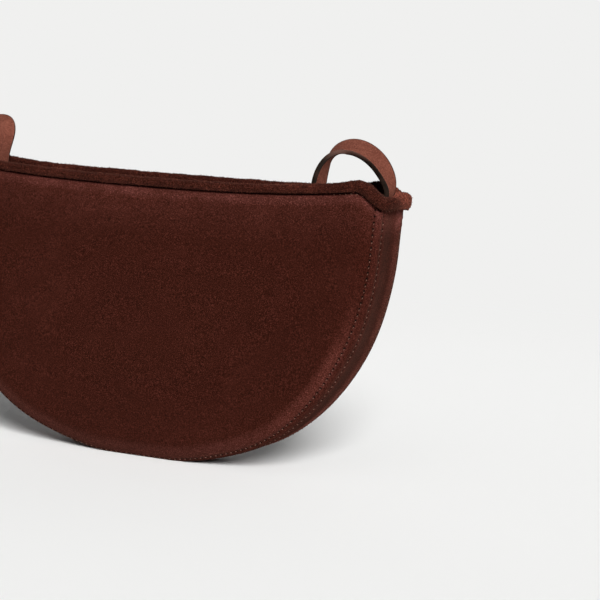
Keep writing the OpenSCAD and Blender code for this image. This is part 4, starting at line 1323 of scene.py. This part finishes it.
class BAG_OT_strap(bpy.types.Operator):
    """Make the flat strap of two suede layers with painted edges, and the patches behind its ends"""
    bl_idname = "half_moon_bag.strap"
    bl_label = "Strap"

    def execute(self, context):
        s = bag_sizes()
        path, out, across, along = strap_frames(s)
        w, t, gap = s.strap_width / 2 - 0.0003, s.strap_layer, s.layer_room / 4
        share = np.linspace(-1, 1, 13)
        crown = 0.00012 * (1 - share ** 2)
        flat_face = np.stack([share * w, gap + 0 * share], -1)
        top_face = np.stack([share * w, gap + t + crown - 0.0001 * np.abs(share) ** 12], -1)[::-1]
        section = np.concatenate([flat_face, top_face])[:, ::-1]
        for label, sign in (("strap_outer", 1), ("strap_inner", -1)):
            points, faces = ring_tube(path, out, across, section * [sign, 1], False)
            new_piece(label, points, faces, material_named("Strap suede"),
                      maps={"rim": flat_map(along[:, None], section[:, 1])},
                      replaces=[label + "_layer"])
        a = np.linspace(-math.pi / 2, math.pi / 2, 9)
        half = gap + t + 0.00005
        bead = np.concatenate([np.stack([half * np.sin(a), w - 0.0002 + 0.0006 * np.cos(a) ** 0.6], -1),
                               np.array([[half, w - 0.0005], [half - 0.0003, w - 0.0005]]),
                               np.array([[-half + 0.0003, w - 0.0005], [-half, w - 0.0005]])])
        for label, sign in (("front", -1), ("back", 1)):
            points, faces = ring_tube(path, out, across, bead * [1, sign], False)
            new_piece("strap_painted_edge_" + label, points, faces, material_named("Edge paint"))
        moon = half_moon(s)
        top = gusset_top(s) - TOUCH
        inward = gusset_stack(s) + s.layer_room
        for label, sign in (("left", -1), ("right", 1)):
            ends = sign * np.array([length_at_height(moon, top - s.strap_tail - PATCH_MARGIN),
                                    length_at_height(moon, top)])
            grid_u, grid_v = np.meshgrid(np.linspace(*ends, 16), np.linspace(-PATCH_HALF, PATCH_HALF, 12))
            skins = [on_gusset(s, moon, grid_u.ravel(), grid_v.ravel(), d)
                     for d in (inward, inward + PATCH_THICK)]
            flat = flat_map(grid_u, grid_v, 2)
            new_piece("strap_patch_" + label, np.concatenate(skins), shell_quads(*grid_u.shape),
                      material_named("Facing suede"), maps={"rim": flat, "seam": flat},
                      replaces=["strap_anchor_patches"])
        return {"FINISHED"}


class BAG_OT_inside(bpy.types.Operator):
    """Line the bag and face its rim"""
    bl_idname = "half_moon_bag.inside"
    bl_label = "Lining and facings"

    def execute(self, context):
        s = bag_sizes()
        moon = half_moon(s)
        edge = gusset_stack(s) + s.layer_room
        near = wall_stack(s) - s.facing
        for label, side in (("front", -1), ("back", 1)):
            cloth = wall_piece(label + "_lining_cloth", label + "_lining", side, near, near + s.lining,
                               edge, s.facing_height, "Lining cloth", 120, 70, 0.72)
            x, z = wall_grid(s, moon, 160, 40, edge, 0, side, 0.72)
            low = wall_grid(s, moon, 160, 2, edge, s.facing_height, side, 0.72)
            r = np.linspace(0, 1, 24)[:, None]
            x, z = x[0] * (1 - r) + low[0][0] * r, z[0] * (1 - r) + (low[1][0] + s.layer_room) * r
            points, faces, maps = wall_sheet(s, moon, x, z, side, near, near + s.facing)
            new_piece(label + "_rim_facing", points, faces, material_named("Facing suede"), maps=maps,
                      replaces=[label + "_facing"])
        top = gusset_top(s) - TOUCH
        deep = gusset_stack(s)
        cloth = gusset_piece("gusset_lining_cloth", "gusset_lining", deep - s.lining, deep,
                             s.seam_depth / 2 - s.leather - s.layer_room, top, "Lining cloth", 240, 12)
        return {"FINISHED"}


class BAG_OT_pockets(bpy.types.Operator):
    """Make the slip pocket and the zip pocket's cloth"""
    bl_idname = "half_moon_bag.pockets"
    bl_label = "Pockets"

    def execute(self, context):
        s = bag_sizes()
        moon = half_moon(s)
        near = wall_stack(s) - s.facing + s.lining + TOUCH
        for node, side, lining in (("slip_pocket", -1, "front_lining_cloth"),
                                   ("zip_pocket", 1, "back_lining_cloth")):
            low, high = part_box(node)
            u, v = np.meshgrid(np.linspace(-1, 1, 90), np.linspace(0, 1, 60))
            corner = 1 - 0.05 * smooth_step((v - 0.8) / 0.2) ** 2
            x = u * high.x * corner
            z = high.z + (low.z - high.z) * v * (1 - 0.02 * np.abs(u) ** 8)
            out = wall_out(s, moon, x, z, side)[0]
            slack = POCKET_SLACK * (1 - u ** 2) * (1 - smooth_step(v / 0.5)) if side < 0 else 0 * u
            hem = POCKET_HEM * (smooth_step((v - 0.005) / 0.01) - smooth_step((v - 0.13) / 0.02))
            skins = [np.stack([x, side * (out - near - slack - d), z], -1).reshape(-1, 3)
                     for d in (0 * u, POCKET_THICK + hem)]
            cloth = new_piece(node + "_cloth", np.concatenate(skins), shell_quads(*x.shape),
                              material_named("Pocket cloth"), maps={"rim": flat_map(x, z, 2)},
                              replaces=[node])
            border = np.concatenate([
                np.stack([-np.ones(24), np.linspace(0.02, 0.97, 24)], -1),
                np.stack([np.linspace(-1, 1, 40), np.full(40, 0.97)], -1),
                np.stack([np.ones(24), np.linspace(0.97, 0.02, 24)], -1)]) * [0.965, 1]
            bx = border[:, 0] * high.x
            bz = high.z + (low.z - high.z) * border[:, 1]
            by = side * (wall_out(s, moon, bx, bz, side)[0] - near - POCKET_THICK)
            row = np.stack([bx, by, bz], -1)
            stitch_rows(node + "_cloth_stitches", [row], [np.tile([0.0, -side, 0.0], (len(row), 1))])
        return {"FINISHED"}


class BAG_OT_zip(bpy.types.Operator):
    """Dress the zip: tape in two halves, rounded teeth, and brass on the slider, puller and stops"""
    bl_idname = "half_moon_bag.zip"
    bl_label = "Zip"

    def execute(self, context):
        low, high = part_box("zip_tape")
        middle = (low.z + high.z) / 2
        x = np.linspace(low.x, high.x, 60)
        half = (high.z - low.z) / 2
        t = high.y - low.y
        edge = np.array([[0.0003, 0.0], [0.0003, t * 0.5], [0.0008, t], [half - 0.0004, t], [half, t * 0.6],
                         [half, t * 0.2], [half - 0.0004, 0.0], [half * 0.6, 0.00008], [half * 0.25, 0.0]])
        points, faces = [], []
        for k, sign in enumerate((-1, 1)):
            section = np.stack([middle + sign * edge[:, 0], high.y - t + edge[:, 1]], -1)
            path = np.stack([x, 0 * x, 0 * x], -1)
            side = np.tile([0.0, 0.0, 1.0], (len(x), 1))
            up = np.tile([0.0, 1.0, 0.0], (len(x), 1))
            part, part_faces = ring_tube(path, side, up, section, False)
            if sign < 0:
                part_faces = [f[:, ::-1] for f in part_faces]
            points.append(part)
            faces += [f + k * len(part) for f in part_faces]
        points = np.concatenate(points)
        tape = new_piece("zip_tape_halves", points, faces, material_named("Zip tape cloth"),
                         maps={"rim": points[:, [0, 2]]}, replaces=["zip_tape"])
        self.teeth()
        coat("Zip brass", "zip_slider", "zip_puller", "zip_end_stops")
        return {"FINISHED"}

    def teeth(self):
        """Each tooth is a head, a waist and a foot on the tape: an outline of 11 places pressed out in
        three rings, the last one drawn in to 0.88 of itself."""
        low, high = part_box("zip_teeth")
        middle = (low.z + high.z) / 2
        shape = np.array([[0, 1.9], [0.5, 1.5], [0.62, 0.9], [0.42, 0.3], [0.62, -0.4], [0.66, -1.5],
                          [-0.66, -1.5], [-0.62, -0.4], [-0.42, 0.3], [-0.62, 0.9], [-0.5, 1.5]]) * 0.001
        m = len(shape)
        parts, quads, caps = [], [], []
        ring = grid_quads(3, m, ring_cols=True)
        k = 0
        for sign in (-1, 1):
            centre_x = (np.arange(TEETH) + 0.5 + sign / 4) * TOOTH_PITCH + TEETH_START
            for cx in centre_x:
                rings = []
                for depth, shrink in ((high.y, 1.0), (low.y + 0.0003, 1.0), (low.y, 0.88)):
                    outline = shape * shrink * [1, -sign]
                    rings.append(np.stack([cx + outline[:, 0], depth + 0 * outline[:, 0],
                                           middle + sign * TOOTH_SIDE + outline[:, 1]], -1))
                parts.append(np.concatenate(rings))
                q = ring + k * 3 * m
                c = np.stack([np.arange(m)[::-1], 2 * m + np.arange(m)]) + k * 3 * m
                quads.append(q if sign > 0 else q[:, ::-1])
                caps.append(c if sign > 0 else c[:, ::-1])
                k += 1
        new_piece("zip_rounded_teeth", np.concatenate(parts), [np.concatenate(quads), np.concatenate(caps)],
                  material_named("Zip brass"), replaces=["zip_teeth"])


class BAG_OT_snap(bpy.types.Operator):
    """Give the magnetic snap and its washers their metal"""
    bl_idname = "half_moon_bag.snap"
    bl_label = "Magnetic snap"

    def execute(self, context):
        coat("Snap nickel", "snap_socket", "snap_stud", "snap_washers")
        return {"FINISHED"}


class BAG_OT_studio(bpy.types.Operator):
    """Set the pale paper floor and backdrop and the soft lamps"""
    bl_idname = "half_moon_bag.studio"
    bl_label = "Studio"

    def execute(self, context):
        c = context.scene.bag_studio
        near, far, high, bend = -3.0, 2.6, 3.2, 1.2
        t = np.linspace(0, 1, 60) * math.pi / 2
        y = np.concatenate([np.linspace(near, far - bend, 20), far - bend + bend * np.sin(t), [far, far]])
        z = np.concatenate([np.zeros(20), bend * (1 - np.cos(t)), [bend + 0.5, high]])
        x = np.linspace(-4, 4, 30)
        grid_x, grid_y = np.meshgrid(x, y)
        points = np.stack([grid_x, grid_y, np.broadcast_to(z[:, None], grid_x.shape)], -1).reshape(-1, 3)
        mesh = bpy.data.meshes.new("Paper")
        mesh.from_pydata(points.tolist(), [], grid_quads(*grid_x.shape).tolist())
        mesh.polygons.foreach_set("use_smooth", np.ones(len(mesh.polygons), bool))
        paper = bpy.data.objects.new("Paper", mesh)
        context.scene.collection.objects.link(paper)
        mesh.materials.append(self.paper_material(c))
        self.lamp("Key", c.key, c.key_spread, c.key_turn, c.key_height)
        self.lamp("Top", c.fill, c.fill_spread, c.fill_turn, c.fill_height)
        world = bpy.data.worlds.new("Sky")
        world.use_nodes = True
        tree = world.node_tree
        tree.nodes["Background"].inputs["Color"].default_value = (*c.paper, 1.0)
        path = tree.nodes.new("ShaderNodeLightPath")
        tree.links.new(mathed(tree, "MAXIMUM", path.outputs["Is Camera Ray"], c.sky),
                       tree.nodes["Background"].inputs["Strength"])
        context.scene.world = world
        context.scene.view_settings.view_transform = "Standard"
        return {"FINISHED"}

    def lamp(self, name, strength, spread, azimuth, height):
        """A broad distant light; azimuth is its turn from the front wall toward the right end."""
        data = bpy.data.lights.new(name, "SUN")
        data.energy = strength
        data.angle = spread
        lamp = bpy.data.objects.new(name, data)
        lamp.rotation_euler = (math.pi / 2 - height, 0.0, azimuth)
        bpy.context.scene.collection.objects.link(lamp)

    def paper_material(self, c):
        """Pale paper that takes the shadow near the bag and shows its own even colour to the camera
        further away, where it also throws back less light."""
        material, tree, shader, where = new_material("Paper", Roughness=0.9, Specular_IOR_Level=0.1)
        glow = node_of(tree, "ShaderNodeEmission")
        glow.inputs["Color"].default_value = (*c.paper, 1.0)
        far = tree.nodes.new("ShaderNodeVectorMath")
        far.operation = "LENGTH"
        tree.links.new(where, far.inputs[0])
        away = ranged(tree, far.outputs["Value"], GLOW_FROM, GLOW_FULL)
        dim = ranged(tree, far.outputs["Value"], GLOW_FULL, DIM_FULL)
        grey = (0.28, 0.28, 0.28)
        tree.links.new(mixed(tree, dim, c.paper, grey), shader.inputs["Base Color"])
        path = tree.nodes.new("ShaderNodeLightPath")
        seen = mathed(tree, "MAXIMUM", path.outputs["Is Camera Ray"], path.outputs["Is Glossy Ray"])
        share = mathed(tree, "MULTIPLY", away, seen)
        mix = tree.nodes.new("ShaderNodeMixShader")
        tree.links.new(share, mix.inputs[0])
        tree.links.new(shader.outputs[0], mix.inputs[1])
        tree.links.new(glow.outputs[0], mix.inputs[2])
        tree.links.new(mix.outputs[0], tree.nodes["Material Output"].inputs[0])
        return material


class BAG_PT_panel(bpy.types.Panel):
    """Half moon bag"""
    bl_idname = "BAG_PT_panel"
    bl_label = "Half moon bag"
    bl_space_type = "VIEW_3D"
    bl_region_type = "UI"
    bl_category = "Half moon bag"

    def draw(self, context):
        for group in (context.scene.bag_sizes, context.scene.bag_finish, context.scene.bag_studio):
            box = self.layout.box()
            for name in group.__annotations__:
                box.prop(group, name)
        for operator in OPERATORS:
            self.layout.operator(operator.bl_idname)


OPERATORS = (BAG_OT_camera, BAG_OT_walls, BAG_OT_gusset, BAG_OT_binding, BAG_OT_stitches, BAG_OT_strap,
             BAG_OT_inside, BAG_OT_pockets, BAG_OT_zip, BAG_OT_snap, BAG_OT_studio)
CLASSES = (BagSizes, BagFinish, BagStudio) + OPERATORS + (BAG_PT_panel,)


def register():
    """Adds the operators, the panel and the scene's three groups of settings."""
    for cls in CLASSES:
        bpy.utils.register_class(cls)
    bpy.types.Scene.bag_sizes = PointerProperty(type=BagSizes)
    bpy.types.Scene.bag_finish = PointerProperty(type=BagFinish)
    bpy.types.Scene.bag_studio = PointerProperty(type=BagStudio)


def unregister():
    """Takes them all out again."""
    for name in ("bag_sizes", "bag_finish", "bag_studio"):
        delattr(bpy.types.Scene, name)
    for cls in reversed(CLASSES):
        bpy.utils.unregister_class(cls)


def main():
    register()
    for name in ("camera", "walls", "gusset", "binding", "stitches", "strap", "inside", "pockets", "zip",
                 "snap", "studio"):
        getattr(bpy.ops.half_moon_bag, name)()


if __name__ == "__main__":
    main()
